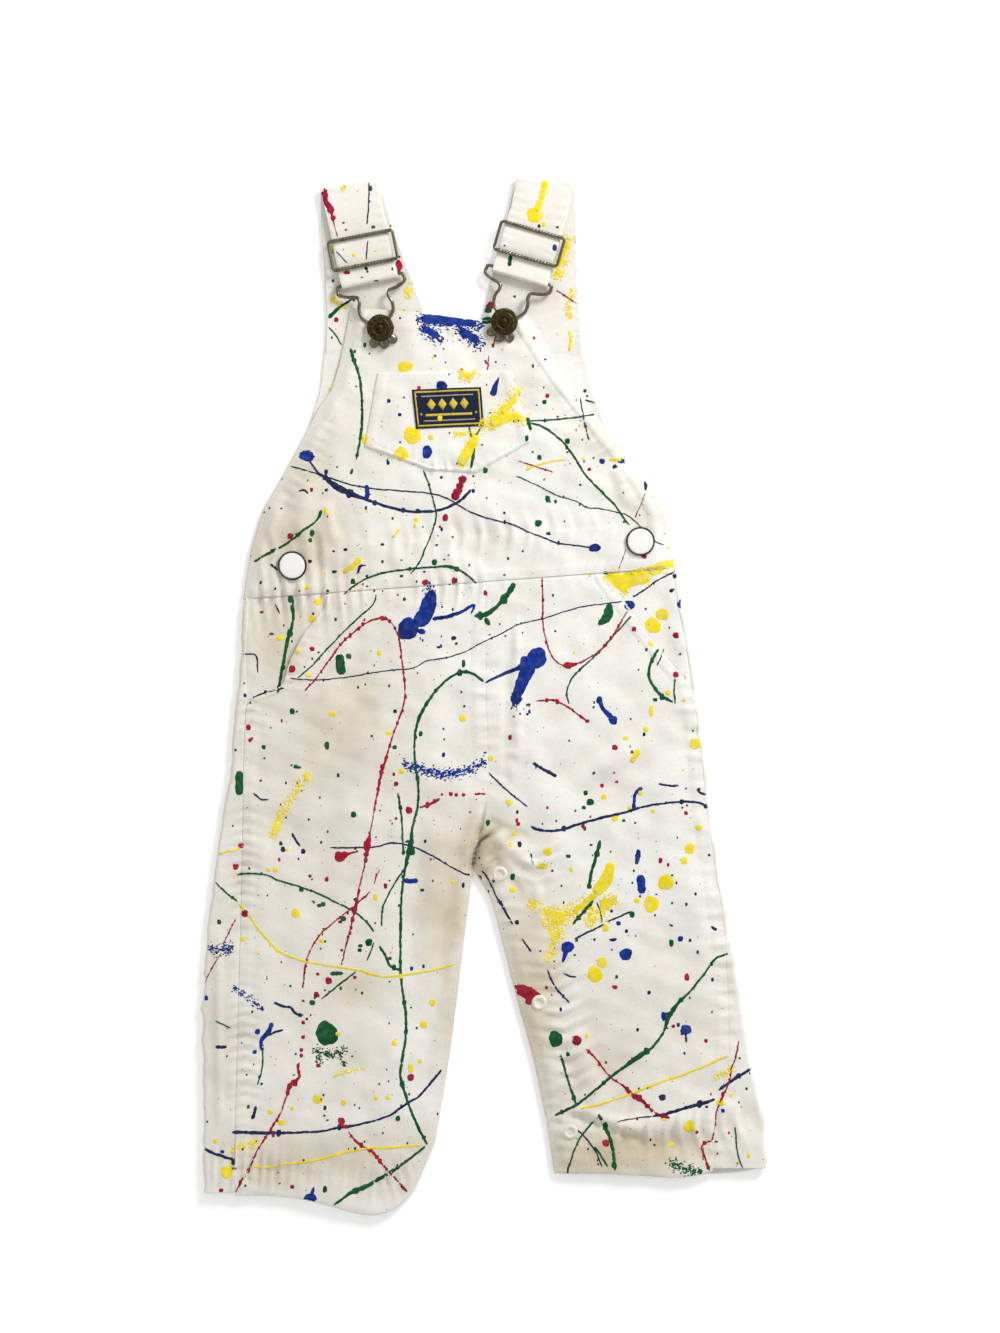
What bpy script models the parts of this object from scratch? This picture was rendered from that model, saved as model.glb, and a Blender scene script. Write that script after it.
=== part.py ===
"""A child's bib overalls of white cotton drill, laid flat on a surface with the front up.

The back pieces lie on the surface, the front pieces lie on them, and the straps fold over at the
shoulders and come down to the bib, where their wire buckles hook round two tack buttons.
Lengths are in millimetres and are turned to metres as each piece is made. +X is the wearer's left,
+Y runs from the hems to the shoulders and +Z stands up from the surface.
"""

import math
from collections import namedtuple

import bmesh
import bpy
from mathutils import Vector

MM = 0.001

# Cloth and the heights at which its layers lie
CLOTH = 1.2  # wall of the drill with its turned seams
GAP = 0.3  # air between two pieces that touch
INNER_Z = CLOTH + GAP  # underside of what lies straight on the back
FRONT_Z = INNER_Z + CLOTH + GAP  # underside of the front, clear of the hip pockets
FRONT_TOP = FRONT_Z + CLOTH
ON_FRONT_Z = FRONT_TOP + GAP  # underside of what is sewn on the front
EDGE_FALL = 8.0  # width over which the front comes down to a closed side

# The middle of the whole outline in the tables below, which goes to the origin
MIDDLE_X = -0.8
MIDDLE_Y = -0.45

# The waist seam is a slightly tilted line across the garment
WAIST_Y = 61.8  # its height at the middle of the garment
WAIST_SLOPE = 0.0727
WAISTBAND_HEIGHT = 26.0

# Straps and hardware
STRAP_HALF_WIDTH = 15.75
FOLD_Z = 3.0  # mid-height of the strap just in front of its shoulder fold
WIRE_RADIUS = 1.0
BAR_Z = INNER_Z + CLOTH / 2 + CLOTH / 2 + GAP + WIRE_RADIUS  # the buckle's bar inside the strap's loop
WIRE_Z = ON_FRONT_Z + WIRE_RADIUS  # the wire where it lies over the bib
SLIDER_WIDTH = 38.0
SLIDER_HEIGHT = 18.0
SLIDER_BAR = 2.2
SLIDER_SIDE = 1.6
SLIDER_THICK = 1.0
BUTTON_RADIUS = 7.4
BUTTON_SHANK = 2.2
SIDE_BUTTON_RADIUS = 8.0
SNAP_RADIUS = 4.25
TURNED_STEPS = 20  # sides of a turned piece

Section = namedtuple("Section", "name left_x left_y right_x right_y bow")
Leg = namedtuple("Leg", "name outer_x outer_y turn inner_x inner_y")
Fold = namedtuple("Fold", "x0 y0 x1 y1 half_width height")

# Each section of a piece runs from its left end to its right end. Bow is how far it hangs below the
# straight line between them at its lowest, which is right of its middle.
BACK_BIB = [
    Section("waist seam", -133.3, 52.1, 105.7, 69.5, 0),
    Section("side opening", -129.0, 79.5, 101.5, 87.0, 0),
    Section("side top", -122.4, 101.5, 98.2, 101.5, 0),
    Section("armhole low", -109.2, 123.5, 83.9, 123.5, 0),
    Section("armhole mid", -97.6, 145.5, 66.3, 145.5, 0),
    Section("armhole high", -90.5, 167.5, 58.0, 167.5, 0),
    Section("neck", -88.3, 189.7, 53.1, 189.7, 0),
]
BIB = [
    Section("waistband seam", -129.1, 78.7, 99.4, 95.3, 0),
    Section("side top", -122.0, 102.0, 97.0, 104.0, 0),
    Section("armhole low", -109.2, 123.5, 83.9, 123.5, 0),
    Section("armhole mid", -97.6, 145.5, 66.8, 145.5, 0),
    Section("armhole high", -91.8, 157.0, 58.0, 156.5, 0),
    Section("bib side low", -84.6, 167.0, 49.4, 167.0, 0),
    Section("bib side", -79.9, 182.0, 38.9, 182.0, 1),
    Section("bib side high", -76.9, 196.5, 30.9, 196.0, 3),
    Section("bib top", -74.0, 212.0, 23.1, 208.5, 4),
]
BIB_POCKET = [
    Section("point", -30.5, 123.2, -5.2, 121.6, 0),
    Section("corners", -66.3, 136.1, 25.3, 138.9, 0),
    Section("mouth", -59.1, 176.5, 14.0, 177.6, 0),
]
LABEL = [
    Section("foot", -38.0, 145.6, -0.8, 147.4, 0),
    Section("head", -40.4, 167.2, -2.4, 168.6, 0),
]
HIP_POCKET = {
    "right": [
        Section("bag foot", -118.0, -25.0, -85.0, -28.0, 0),
        Section("bag side", -129.5, 0.0, -75.0, -2.0, 0),
        Section("mouth", -130.5, 26.0, -66.0, 27.0, 0),
        Section("waist seam", -128.5, 52.1, -60.0, 57.1, 0),
    ],
    "left": [
        Section("bag foot", 86.0, -18.0, 104.0, -14.0, 0),
        Section("bag side", 78.0, 8.0, 109.0, 12.0, 0),
        Section("mouth", 60.0, 38.0, 108.0, 42.0, 0),
        Section("waist seam", 48.0, 65.0, 100.5, 68.8, 0),
    ],
}

# Each section of a leg, from the waist to the hem. The back leg turns over its outer edge on to the
# front by turn, and meets the front leg there.
LEGS = {
    "right": [
        Leg("waist", -133.3, 51.6, 3.0, -0.2, 61.5),
        Leg("pocket foot", -136.0, 4.0, 4.0, -0.4, 4.0),
        Leg("hip", -137.4, -3.2, 6.0, -0.3, -5.0),
        Leg("thigh", -140.5, -43.0, 7.6, 1.7, -45.0),
        Leg("above crotch", -145.6, -73.0, 12.4, -2.4, -72.0),
        Leg("crotch", -148.2, -93.0, 14.6, -6.6, -92.5),
        Leg("knee", -153.2, -131.0, 18.8, -11.3, -131.0),
        Leg("shin", -157.0, -176.0, 21.2, -16.4, -173.0),
        Leg("low shin", -155.2, -205.0, 18.8, -20.6, -204.0),
        Leg("above hem", -155.6, -245.0, 18.1, -27.6, -246.0),
        Leg("hem", -155.2, -273.5, 18.0, -39.0, -271.0),
    ],
    "left": [
        Leg("waist", 105.5, 69.0, 3.0, 0.2, 61.5),
        Leg("pocket foot", 115.2, 14.0, 3.0, 0.4, 12.0),
        Leg("hip", 116.6, 4.0, 3.0, 0.3, -5.0),
        Leg("thigh", 122.5, -45.0, 3.0, 2.3, -45.0),
        Leg("above crotch", 125.2, -73.0, 3.0, -1.6, -72.0),
        Leg("crotch", 128.6, -90.0, 3.0, -6.0, -92.0),
        Leg("low crotch", 131.6, -110.0, 3.2, 2.6, -111.0),
        Leg("knee", 134.6, -130.0, 3.6, 7.8, -130.0),
        Leg("shin", 140.2, -166.0, 7.0, 17.2, -167.0),
        Leg("low shin", 145.6, -200.0, 12.2, 26.4, -200.0),
        Leg("above hem", 153.6, -234.0, 27.4, 33.4, -234.0),
        Leg("hem", 155.4, -260.0, 30.6, 37.8, -261.5),
    ],
}
# The front leg's edge along its slanted pocket, from the waist down, and the centre seam beside it.
POCKET_EDGE = {
    "right": [(-86.0, -0.2), (-88.5, -0.2), (-99.8, -0.3), (-108.0, -0.3), (-111.0, -0.4)],
    "left": [(65.4, 0.2), (75.6, 0.2), (91.0, 0.3), (104.0, 0.4)],
}
POCKET_EDGE_Y = {
    "right": [(55.3, 61.3), (47.0, 49.0), (33.6, 33.0), (17.0, 18.0), (4.0, 4.0)],
    "left": [(66.2, 61.5), (51.4, 49.0), (30.0, 30.0), (14.5, 13.0)],
}
# The edge of the left front leg along the inseam placket, from the crotch to the hem.
PLACKET_EDGE = {
    "placket top": (27.0, -93.5),
    "low crotch": (28.4, -110.6),
    "knee": (32.6, -130.6),
    "shin": (40.4, -167.0),
    "low shin": (46.0, -200.0),
    "above hem": (52.6, -234.0),
    "hem": (57.2, -263.0),
}
PLACKET_TOP_INNER = (-5.9, -92.9)
HEM_DROP = 1.5  # how far the front hem hangs below the back one
HEM_BOW = {"right": 12.5, "left": 3.0}
BOW_LEAN = 2.6  # above 1, the lowest point of a bow moves to the right

# The largest soft folds of the front, each a ridge along a line
FOLDS = [
    Fold(-122, 45, -60, -40, 15, 0.9),
    Fold(-96, 120, -103, 88, 9, 0.9),
    Fold(-30, 55, -28, -60, 16, 0.8),
    Fold(-40, -130, -52, -235, 20, 1.0),
    Fold(-60, -225, -118, -262, 13, 0.8),
    Fold(-125, -60, -122, -180, 14, 0.9),
    Fold(20, -20, 44, -95, 14, 0.9),
    Fold(60, -45, 108, -12, 13, 0.8),
    Fold(112, -80, 124, -190, 14, 0.9),
    Fold(62, -245, 118, -238, 12, 0.8),
]
FOLD_TAPER = 0.18  # share of a fold's length over which each end dies away

# Straps: sections of the ply that lies on the surface, from the back bib up to the shoulder fold
REAR_STRAP = {
    "right": [
        Section("seam", -88.0, 190.0, -27.0, 190.0, 0),
        Section("bib top", -87.3, 206.0, -32.2, 206.5, 0),
        Section("under slider", -88.6, 236.0, -43.5, 236.0, 0),
        Section("upper", -90.4, 258.0, -51.5, 258.5, 0),
        Section("shoulder", -90.6, 276.5, -58.6, 281.6, 0),
    ],
    "left": [
        Section("seam", -6.0, 190.0, 53.0, 190.0, 0),
        Section("bib top", -2.0, 206.5, 52.0, 206.0, 0),
        Section("under slider", 5.0, 236.0, 50.3, 236.0, 0),
        Section("upper", 10.6, 258.0, 49.9, 258.0, 0),
        Section("shoulder", 16.6, 282.6, 48.6, 280.0, 0),
    ],
}
# What the strap's front ply passes, and where its wire buckle and button are
Station = namedtuple("Station", "x y tilt")
FRONT_STRAP = {
    "right": {
        "top": Station(-74.4, 279.0, 8.0),
        "upper": Station(-71.6, 264.0, 10.0),
        "slider": Station(-67.3, 243.6, 11.0),
        "bar": Station(-63.6, 227.6, 12.0),
        "button": Station(-57.5, 200.8, 12.5),
    },
    "left": {
        "top": Station(32.4, 281.4, -5.0),
        "upper": Station(29.4, 264.5, -12.0),
        "slider": Station(24.0, 247.2, -16.0),
        "bar": Station(19.2, 229.6, -16.5),
        "button": Station(10.4, 204.2, -18.0),
    },
}
# Half of the wire buckle in its own plane: across it and from the button towards the strap's bar
WIRE_ROUTE = [
    (18.6, 25.4),
    (18.2, 22.6),
    (14.0, 20.6),
    (9.2, 19.4),
    (8.2, 16.4),
    (9.4, 12.4),
    (8.6, 7.6),
    (5.2, 3.6),
    (4.3, -0.5),
    (3.2, -4.4),
]
BAR_REACH = 27.4  # from the button to the bar
BAR_STRAIGHT = 16.5  # half of the bar's straight length
WIRE_FOOT = -5.8  # where the wire closes below the button
CATCH_FOOT = -11.0  # the pressed catch below it
CATCH_HALF_WIDTH = 7.2
SIDE_BUTTONS = {"right": (-105.9, 70.7), "left": (85.0, 84.0)}
SNAPS = [(8.0, -98.5), (29.6, -169.0), (46.6, -239.8)]

# Plain finishes: colour, roughness and metallic value
FINISHES = {
    "drill": ((0.78, 0.76, 0.71), 0.9, 0.0),
    "label": ((0.02, 0.03, 0.10), 0.8, 0.0),
    "nickel": ((0.62, 0.61, 0.58), 0.3, 1.0),
    "antique_brass": ((0.16, 0.12, 0.06), 0.45, 1.0),
    "snap_white": ((0.85, 0.83, 0.79), 0.4, 0.0),
}


def finish(name):
    """The named finish as a material, made once."""
    found = bpy.data.materials.get(name)
    if found:
        return found
    colour, roughness, metallic = FINISHES[name]
    made = bpy.data.materials.new(name)
    made.use_nodes = True
    shader = made.node_tree.nodes["Principled BSDF"]
    shader.inputs["Base Color"].default_value = (*colour, 1)
    shader.inputs["Roughness"].default_value = roughness
    shader.inputs["Metallic"].default_value = metallic
    return made


def add_object(name, data, material):
    """A new object in the garment's collection, under its root."""
    made = bpy.data.objects.new(name, data)
    bpy.data.collections["Overalls"].objects.link(made)
    made.parent = bpy.data.objects["root"]
    data.materials.append(finish(material))
    return made


def mixed(a, b, share):
    """The point that share of the way from a to b."""
    return [p + (q - p) * share for p, q in zip(a, b)]


def smooth(share):
    """0 below 0, 1 above 1, and a soft step between."""
    share = min(max(share, 0.0), 1.0)
    return share * share * (3 - 2 * share)


def fold_lift(x, y):
    """How far the soft folds raise the front at this place."""
    lift = 0.0
    for fold in FOLDS:
        along = Vector((fold.x1 - fold.x0, fold.y1 - fold.y0))
        offset = Vector((x - fold.x0, y - fold.y0))
        share = offset.dot(along) / along.length_squared
        if not 0 < share < 1:
            continue
        across = abs(along.cross(offset)) / along.length
        ends = smooth(share / FOLD_TAPER) * smooth((1 - share) / FOLD_TAPER)
        lift = max(lift, fold.height * ends * (1 - smooth(across / fold.half_width)))
    return lift


def bow_drop(bow, across):
    """How far a bowed edge hangs down at that share of the way across it."""
    return bow * math.sin(math.pi * min(across, 1.0) ** BOW_LEAN)


def section_point(sections, across, along):
    """The place on a piece: across each section and along the sections, both from 0 to 1."""
    spot = along * (len(sections) - 1)
    index = min(int(spot), len(sections) - 2)
    ends = []
    for section in sections[index : index + 2]:
        left = (section.left_x, section.left_y)
        right = (section.right_x, section.right_y)
        x, y = mixed(left, right, across)
        ends.append((x, y - bow_drop(section.bow, across)))
    return mixed(ends[0], ends[1], spot - index)


def section_width(sections, along):
    """The piece's width at that share of the way along its sections."""
    left = section_point(sections, 0, along)
    right = section_point(sections, 1, along)
    return math.dist(left, right)


def grid_mesh(name, columns, rows, place):
    """An open sheet: a grid with each vertex put where place says, from its two shares."""
    mesh = bpy.data.meshes.new(name)
    sheet = bmesh.new()
    bmesh.ops.create_grid(sheet, x_segments=columns, y_segments=rows, size=0.5)
    for vertex in sheet.verts:
        across, along = vertex.co.x + 0.5, vertex.co.y + 0.5
        vertex.co = Vector(place(across, along)) * MM
    return mesh, sheet


def flat_panel(name, sections, material="drill", columns=6, steps=1, height=None):
    """A piece of cloth with upright sides through its sections. height(x, y, left, right) is its
    underside, where left and right are the distances to its two side edges."""

    def place(across, along):
        x, y = section_point(sections, across, along)
        width = section_width(sections, along)
        return x, y, height(x, y, across * width, (1 - across) * width)

    rows = steps * (len(sections) - 1)
    mesh, sheet = grid_mesh(name, columns, rows, place)
    raised = bmesh.ops.extrude_face_region(sheet, geom=sheet.faces[:])
    verts = [item for item in raised["geom"] if isinstance(item, bmesh.types.BMVert)]
    bmesh.ops.translate(sheet, verts=verts, vec=(0, 0, CLOTH * MM))
    bmesh.ops.recalc_face_normals(sheet, faces=sheet.faces[:])
    sheet.to_mesh(mesh)
    sheet.free()
    return add_object(name, mesh, material)


def level(z):
    """A height function for a piece that lies flat at z."""
    return lambda x, y, left, right: z


def front_height(left_closed=False, right_closed=False):
    """A height function for the front, which comes down to the back at a closed side."""

    def height(x, y, left, right):
        z = FRONT_Z + fold_lift(x, y)
        near = min([EDGE_FALL] + [left] * left_closed + [right] * right_closed)
        return INNER_Z + (z - INNER_Z) * smooth(near / EDGE_FALL)

    return height


def thickened(name, mesh, sheet, material):
    """An open sheet made a closed wall of cloth, half to each side of it."""
    sheet.to_mesh(mesh)
    sheet.free()
    made = add_object(name, mesh, material)
    wall = made.modifiers.new("wall", "SOLIDIFY")
    wall.thickness = CLOTH * MM
    wall.offset = 0
    return made


def leg_row(along, sections):
    """The number of the section at that share of the way along."""
    return round(along * (len(sections) - 1))


def back_leg(side):
    """The back of a leg: flat on the surface, then turned over its outer edge on to the front."""
    sections = LEGS[side]
    inward = 1 if side == "right" else -1
    radius = FRONT_Z / 2
    flat, turned, top = 6, 4, 2
    columns = flat + turned + top

    def place(across, along):
        name, outer_x, outer_y, turn, inner_x, inner_y = sections[leg_row(along, sections)]
        fold_x = outer_x + inward * (radius + CLOTH / 2)
        column = round(across * columns)
        if column <= flat:
            share = column / flat
            x, y = mixed((inner_x, inner_y), (fold_x, outer_y), share)
            hem = HEM_BOW[side] if name == "hem" else 0
            return x, y - bow_drop(hem, share if side == "left" else 1 - share), CLOTH / 2
        if column <= flat + turned:
            angle = math.pi * (column - flat) / turned
            x = fold_x - inward * radius * math.sin(angle)
            return x, outer_y, CLOTH / 2 + radius * (1 - math.cos(angle))
        end_x = outer_x + inward * turn
        x, y = mixed((fold_x, outer_y), (end_x, outer_y), (column - flat - turned) / top)
        return x, y, CLOTH / 2 + 2 * radius

    mesh, sheet = grid_mesh(f"back_leg_{side}", columns, len(sections) - 1, place)
    return thickened(f"back_leg_{side}", mesh, sheet, "drill")


def front_leg_sections(side):
    """The front leg's sections from the hem up: beside the turned edge of the back leg, then along
    the slanted pocket. Its inner edge is the inseam or, on the left, the placket's edge."""
    inward = 1 if side == "right" else -1
    legs = {leg.name: leg for leg in LEGS[side]}
    rows = []
    for (edge_x, seam_x), (edge_y, seam_y) in zip(POCKET_EDGE[side], POCKET_EDGE_Y[side]):
        rows.append(((edge_x, edge_y), (seam_x, seam_y)))
    for leg in LEGS[side][2:]:
        edge = (leg.outer_x + inward * (leg.turn + GAP), leg.outer_y)
        inner = (leg.inner_x, leg.inner_y)
        if side == "left" and leg.name in PLACKET_EDGE:
            inner = PLACKET_EDGE[leg.name]
        rows.append((edge, inner))
        if side == "left" and leg.name == "crotch":
            below = mixed(legs["crotch"][1:], legs["low crotch"][1:], 0.1)
            edge = (below[0] + inward * (below[2] + GAP), below[1])
            rows.append((edge, PLACKET_EDGE["placket top"]))
    (edge_x, edge_y), (inner_x, inner_y) = rows[-1]
    rows[-1] = ((edge_x, edge_y - HEM_DROP), (inner_x, inner_y - HEM_DROP))
    sections = []
    for number, (edge, inner) in enumerate(rows):
        left, right = (edge, inner) if side == "right" else (inner, edge)
        bow = HEM_BOW[side] if number == len(rows) - 1 else 0
        sections.append(Section(str(number), *left, *right, bow))
    return sections[::-1]


def placket_sections():
    """The inseam placket's sections from the hem up: from the leg's inner edge to the front leg."""
    legs = {leg.name: leg for leg in LEGS["left"]}
    sections = []
    for name, (edge_x, edge_y) in PLACKET_EDGE.items():
        leg = legs.get(name)
        inner = PLACKET_TOP_INNER if leg is None else (leg.inner_x, leg.inner_y)
        drop = HEM_DROP if name == "hem" else 0
        left = (inner[0], inner[1] - drop)
        right = (edge_x - GAP, edge_y - drop)
        sections.append(Section(name, *left, *right, 0))
    return sections[::-1]


def waistband_sections():
    """The waistband's two long edges, between the bib and the legs."""
    left, right = -132.8, 104.4
    low = Section("low", left, waist(left) + GAP, right, waist(right) + GAP, 0)
    top_left, top_right = BIB[0].left_x, BIB[0].right_x
    left_y, right_y = BIB[0].left_y - GAP, BIB[0].right_y - GAP
    return [low, Section("high", top_left, left_y, top_right, right_y, 0)]


def waist(x):
    """The waist seam's height at x."""
    return WAIST_Y + WAIST_SLOPE * x


def ribbon_sections(side):
    """The strap's sections in order along it, each its left end, right end and mid-height: up the
    back, over the shoulder, down through the slider, round the buckle's bar and back up behind."""
    rows = []
    for rear in REAR_STRAP[side]:
        rows.append(((rear.left_x, rear.left_y), (rear.right_x, rear.right_y), CLOTH / 2))
    stations = FRONT_STRAP[side]
    rear = REAR_STRAP[side][-1]
    radius = (FOLD_Z - CLOTH / 2) / 2
    for step in (1, 2, 3, 4):
        angle = math.pi * step / 4
        out = radius * math.sin(angle)
        left = (rear.left_x, rear.left_y + out)
        right = (rear.right_x, rear.right_y + out)
        rows.append((left, right, CLOTH / 2 + radius * (1 - math.cos(angle))))
    ply_z = FRONT_Z + CLOTH / 2
    slider = stations["slider"]
    rows.append(across_station(stations["upper"], 0, FOLD_Z))
    rows.append(across_station(slider, 10, ply_z))
    rows.append(across_station(slider, -9, ply_z))
    bar = stations["bar"]
    radius = BAR_Z - (INNER_Z + CLOTH / 2)
    rows.append(across_station(bar, 3, BAR_Z + radius * 0.85))
    for step in range(7):
        angle = math.pi * step / 6
        rows.append(across_station(bar, -radius * math.sin(angle), BAR_Z + radius * math.cos(angle)))
    rows.append(across_station(slider, -9, INNER_Z + CLOTH / 2))
    rows.append(across_station(slider, 11, INNER_Z + CLOTH / 2))
    return rows


def across_station(station, along, z):
    """The strap's two edges at a distance along its own direction from a station."""
    tilt = math.radians(station.tilt)
    over = Vector((math.cos(tilt), math.sin(tilt)))
    up = Vector((-math.sin(tilt), math.cos(tilt)))
    centre = Vector((station.x, station.y)) + up * along
    left = centre - over * STRAP_HALF_WIDTH
    right = centre + over * STRAP_HALF_WIDTH
    return tuple(left), tuple(right), z


def strap(side):
    """A shoulder strap in one length, folded over at the shoulder and looped through its buckle."""
    rows = ribbon_sections(side)

    def place(across, along):
        left, right, z = rows[round(along * (len(rows) - 1))]
        x, y = mixed(left, right, across)
        return x, y, z

    mesh, sheet = grid_mesh(f"strap_{side}", 3, len(rows) - 1, place)
    return thickened(f"strap_{side}", mesh, sheet, "drill")


def seat(made, station, z):
    """Puts a piece of hardware at a station, turned with the strap."""
    made.location = Vector((station.x, station.y, z)) * MM
    made.rotation_euler = (0, 0, math.radians(station.tilt))
    return made


def poly_spline(curve, points):
    """A closed spline of straight lines through points of two or three numbers."""
    spline = curve.splines.new("POLY")
    spline.points.add(len(points) - 1)
    for target, point in zip(spline.points, points):
        target.co = (*(Vector((*point, 0)[:3]) * MM), 1)
    spline.use_cyclic_u = True


def flat_plate(name, outlines, thickness, material):
    """A flat plate: an outline, with the further ones as holes."""
    curve = bpy.data.curves.new(name, "CURVE")
    curve.dimensions = "2D"
    curve.fill_mode = "BOTH"
    curve.extrude = thickness / 2 * MM
    for outline in outlines:
        poly_spline(curve, outline)
    return add_object(name, curve, material)


def rectangle(half_width, half_height):
    """The corners of a rectangle about the origin."""
    signs = ((-1, -1), (1, -1), (1, 1), (-1, 1))
    return [(sx * half_width, sy * half_height) for sx, sy in signs]


def slider(side):
    """The strap's slider: two bars over the cloth, joined at the sides."""
    half_width, half_height = SLIDER_WIDTH / 2, SLIDER_HEIGHT / 2
    window = rectangle(half_width - SLIDER_SIDE, half_height - SLIDER_BAR)
    outlines = [rectangle(half_width, half_height), window]
    made = flat_plate(f"slider_{side}", outlines, SLIDER_THICK, "nickel")
    return seat(made, FRONT_STRAP[side]["slider"], ON_FRONT_Z + SLIDER_THICK / 2)


def through(points, steps):
    """A smooth line through points, with that many steps between two of them."""
    line = []
    ends = [points[0], *points, points[-1]]
    for a, b, c, d in zip(ends, ends[1:], ends[2:], ends[3:]):
        for step in range(steps):
            t = step / steps
            line.append(
                [
                    q + 0.5 * t * (r - p + t * (2 * p - 5 * q + 4 * r - s + t * (3 * q - p - 3 * r + s)))
                    for p, q, r, s in zip(a, b, c, d)
                ]
            )
    line.append(list(points[-1]))
    return line


def wire_height(along):
    """The wire's height above the buckle's own origin, which is at the button."""
    return (BAR_Z - WIRE_Z) * smooth((along - 17) / 8)


def wire_buckle(side):
    """The buckle of one closed wire: a bar in the strap's loop, shoulders, and a keyhole loop."""
    half = through([(BAR_STRAIGHT, BAR_REACH), *WIRE_ROUTE], 2)
    right = [(x, y, wire_height(y)) for x, y in half]
    left = [(-x, y, z) for x, y, z in reversed(right)]
    curve = bpy.data.curves.new(f"buckle_{side}", "CURVE")
    curve.dimensions = "3D"
    curve.bevel_depth = WIRE_RADIUS * MM
    curve.bevel_resolution = 2
    poly_spline(curve, [*right, (0, WIRE_FOOT, 0), *left])
    made = add_object(f"buckle_{side}", curve, "nickel")
    return seat(made, FRONT_STRAP[side]["button"], WIRE_Z)


def catch(side):
    """The pressed catch at the foot of the wire loop, with three soft lobes."""
    top = WIRE_FOOT - WIRE_RADIUS - GAP
    outline = [(-CATCH_HALF_WIDTH * 0.8, top), (CATCH_HALF_WIDTH * 0.8, top)]
    steps = 12
    for step in range(steps + 1):
        share = step / steps
        x = CATCH_HALF_WIDTH * math.cos(math.pi * share)
        depth = math.sin(math.pi * share) ** 0.5
        wave = 0.86 - 0.14 * math.cos(6 * math.pi * share)
        outline.append((x, top - 1 + (CATCH_FOOT - top + 1) * depth * wave))
    made = flat_plate(f"catch_{side}", [outline], SLIDER_THICK, "nickel")
    return seat(made, FRONT_STRAP[side]["button"], ON_FRONT_Z + SLIDER_THICK / 2)


def turned(name, profile, material):
    """A turned piece: a profile of radius and height, from its top to its foot, round its axis."""
    mesh = bpy.data.meshes.new(name)
    edges = [(index, index + 1) for index in range(len(profile) - 1)]
    mesh.from_pydata([(radius * MM, 0, height * MM) for radius, height in profile], edges, [])
    made = add_object(name, mesh, material)
    spin = made.modifiers.new("spin", "SCREW")
    spin.steps = spin.render_steps = TURNED_STEPS
    spin.use_merge_vertices = True
    spin.merge_threshold = 0.0001
    spin.use_smooth_shade = True
    return made


def bib_button(side):
    """A tack button: a domed cap with a rim, on a shank that the buckle's wire goes round."""
    rise = 2 * WIRE_RADIUS + GAP
    cap = rise + 2.4
    radius = BUTTON_RADIUS
    profile = [(0, cap), (radius - 2, cap), (radius - 0.8, cap - 0.3), (radius, cap - 1)]
    profile += [(radius, rise + 0.3), (radius - 0.6, rise), (BUTTON_SHANK, rise)]
    profile += [(BUTTON_SHANK, 0), (0, 0)]
    made = turned(f"bib_button_{side}", profile, "antique_brass")
    return seat(made, FRONT_STRAP[side]["button"], ON_FRONT_Z)


def rest_height(spot, radius):
    """The underside of a round thing that rests on the highest of the front below it."""
    ring = [math.tau * step / TURNED_STEPS for step in range(TURNED_STEPS)]
    round_it = [(spot[0] + radius * math.cos(a), spot[1] + radius * math.sin(a)) for a in ring]
    return ON_FRONT_Z + max(fold_lift(x, y) for x, y in [spot, *round_it])


def round_cap(name, spot, radius, height, material):
    """A flat round cap that sits on the front: a side button or a snap."""
    profile = [(0, height), (radius * 0.7, height), (radius * 0.9, height * 0.85)]
    profile += [(radius, height * 0.5), (radius, 0.2), (radius - 0.2, 0), (0, 0)]
    made = turned(name, profile, material)
    made.location = Vector((*spot, rest_height(spot, radius))) * MM
    return made


def on_front(x, y, left, right):
    """The underside of what is sewn on the front, where the front lies flat."""
    return ON_FRONT_Z


def cloth():
    """The cut pieces, from the surface up."""
    flat_panel("back_bib", BACK_BIB, columns=6, height=level(0))
    for side in ("right", "left"):
        back_leg(side)
        strap(side)
        flat_panel(f"hip_pocket_{side}", HIP_POCKET[side], columns=4, height=level(INNER_Z))
    inseam_closed = front_height(right_closed=True)
    flat_panel("front_leg_right", front_leg_sections("right"), columns=10, steps=2, height=inseam_closed)
    flat_panel("front_leg_left", front_leg_sections("left"), columns=10, steps=2, height=front_height())
    placket = front_height(left_closed=True)
    flat_panel("inseam_placket", placket_sections(), columns=4, steps=2, height=placket)
    both_closed = front_height(left_closed=True, right_closed=True)
    flat_panel("waistband", waistband_sections(), columns=16, steps=2, height=both_closed)
    flat_panel("bib", BIB, columns=14, height=both_closed)
    flat_panel("bib_pocket", BIB_POCKET, columns=4, height=on_front)
    flat_panel("label", LABEL, "label", columns=2, height=level(ON_FRONT_Z + CLOTH + GAP))


def hardware():
    """Sliders, wire buckles, catches, buttons and snaps."""
    for side in ("right", "left"):
        slider(side)
        wire_buckle(side)
        catch(side)
        bib_button(side)
        spot = SIDE_BUTTONS[side]
        round_cap(f"side_button_{side}", spot, SIDE_BUTTON_RADIUS, 2.6, "nickel")
    for number, spot in enumerate(SNAPS, 1):
        round_cap(f"snap_{number}", spot, SNAP_RADIUS, 1.6, "snap_white")


def main():
    for old in list(bpy.data.objects):
        bpy.data.objects.remove(old)
    collection = bpy.data.collections.new("Overalls")
    bpy.context.scene.collection.children.link(collection)
    root = bpy.data.objects.new("root", None)
    collection.objects.link(root)
    root.location = (-MIDDLE_X * MM, -MIDDLE_Y * MM, 0)
    cloth()
    hardware()


main()
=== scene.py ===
"""A child's white bib overalls, worn and spattered with paint, laid flat with the front up.

Each cloth piece is a thin shell on the form of its packed solid, with its own puckers and folds.
Lengths are in millimetres and are turned to metres where a piece is made. +X is the wearer's left,
+Y runs from the hems to the shoulders and +Z stands up from the surface.
"""

import math
from collections import namedtuple

import bmesh
import bpy
import numpy as np
from bpy.props import FloatProperty, FloatVectorProperty, IntProperty, PointerProperty
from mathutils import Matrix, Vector
from mathutils.bvhtree import BVHTree


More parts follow.
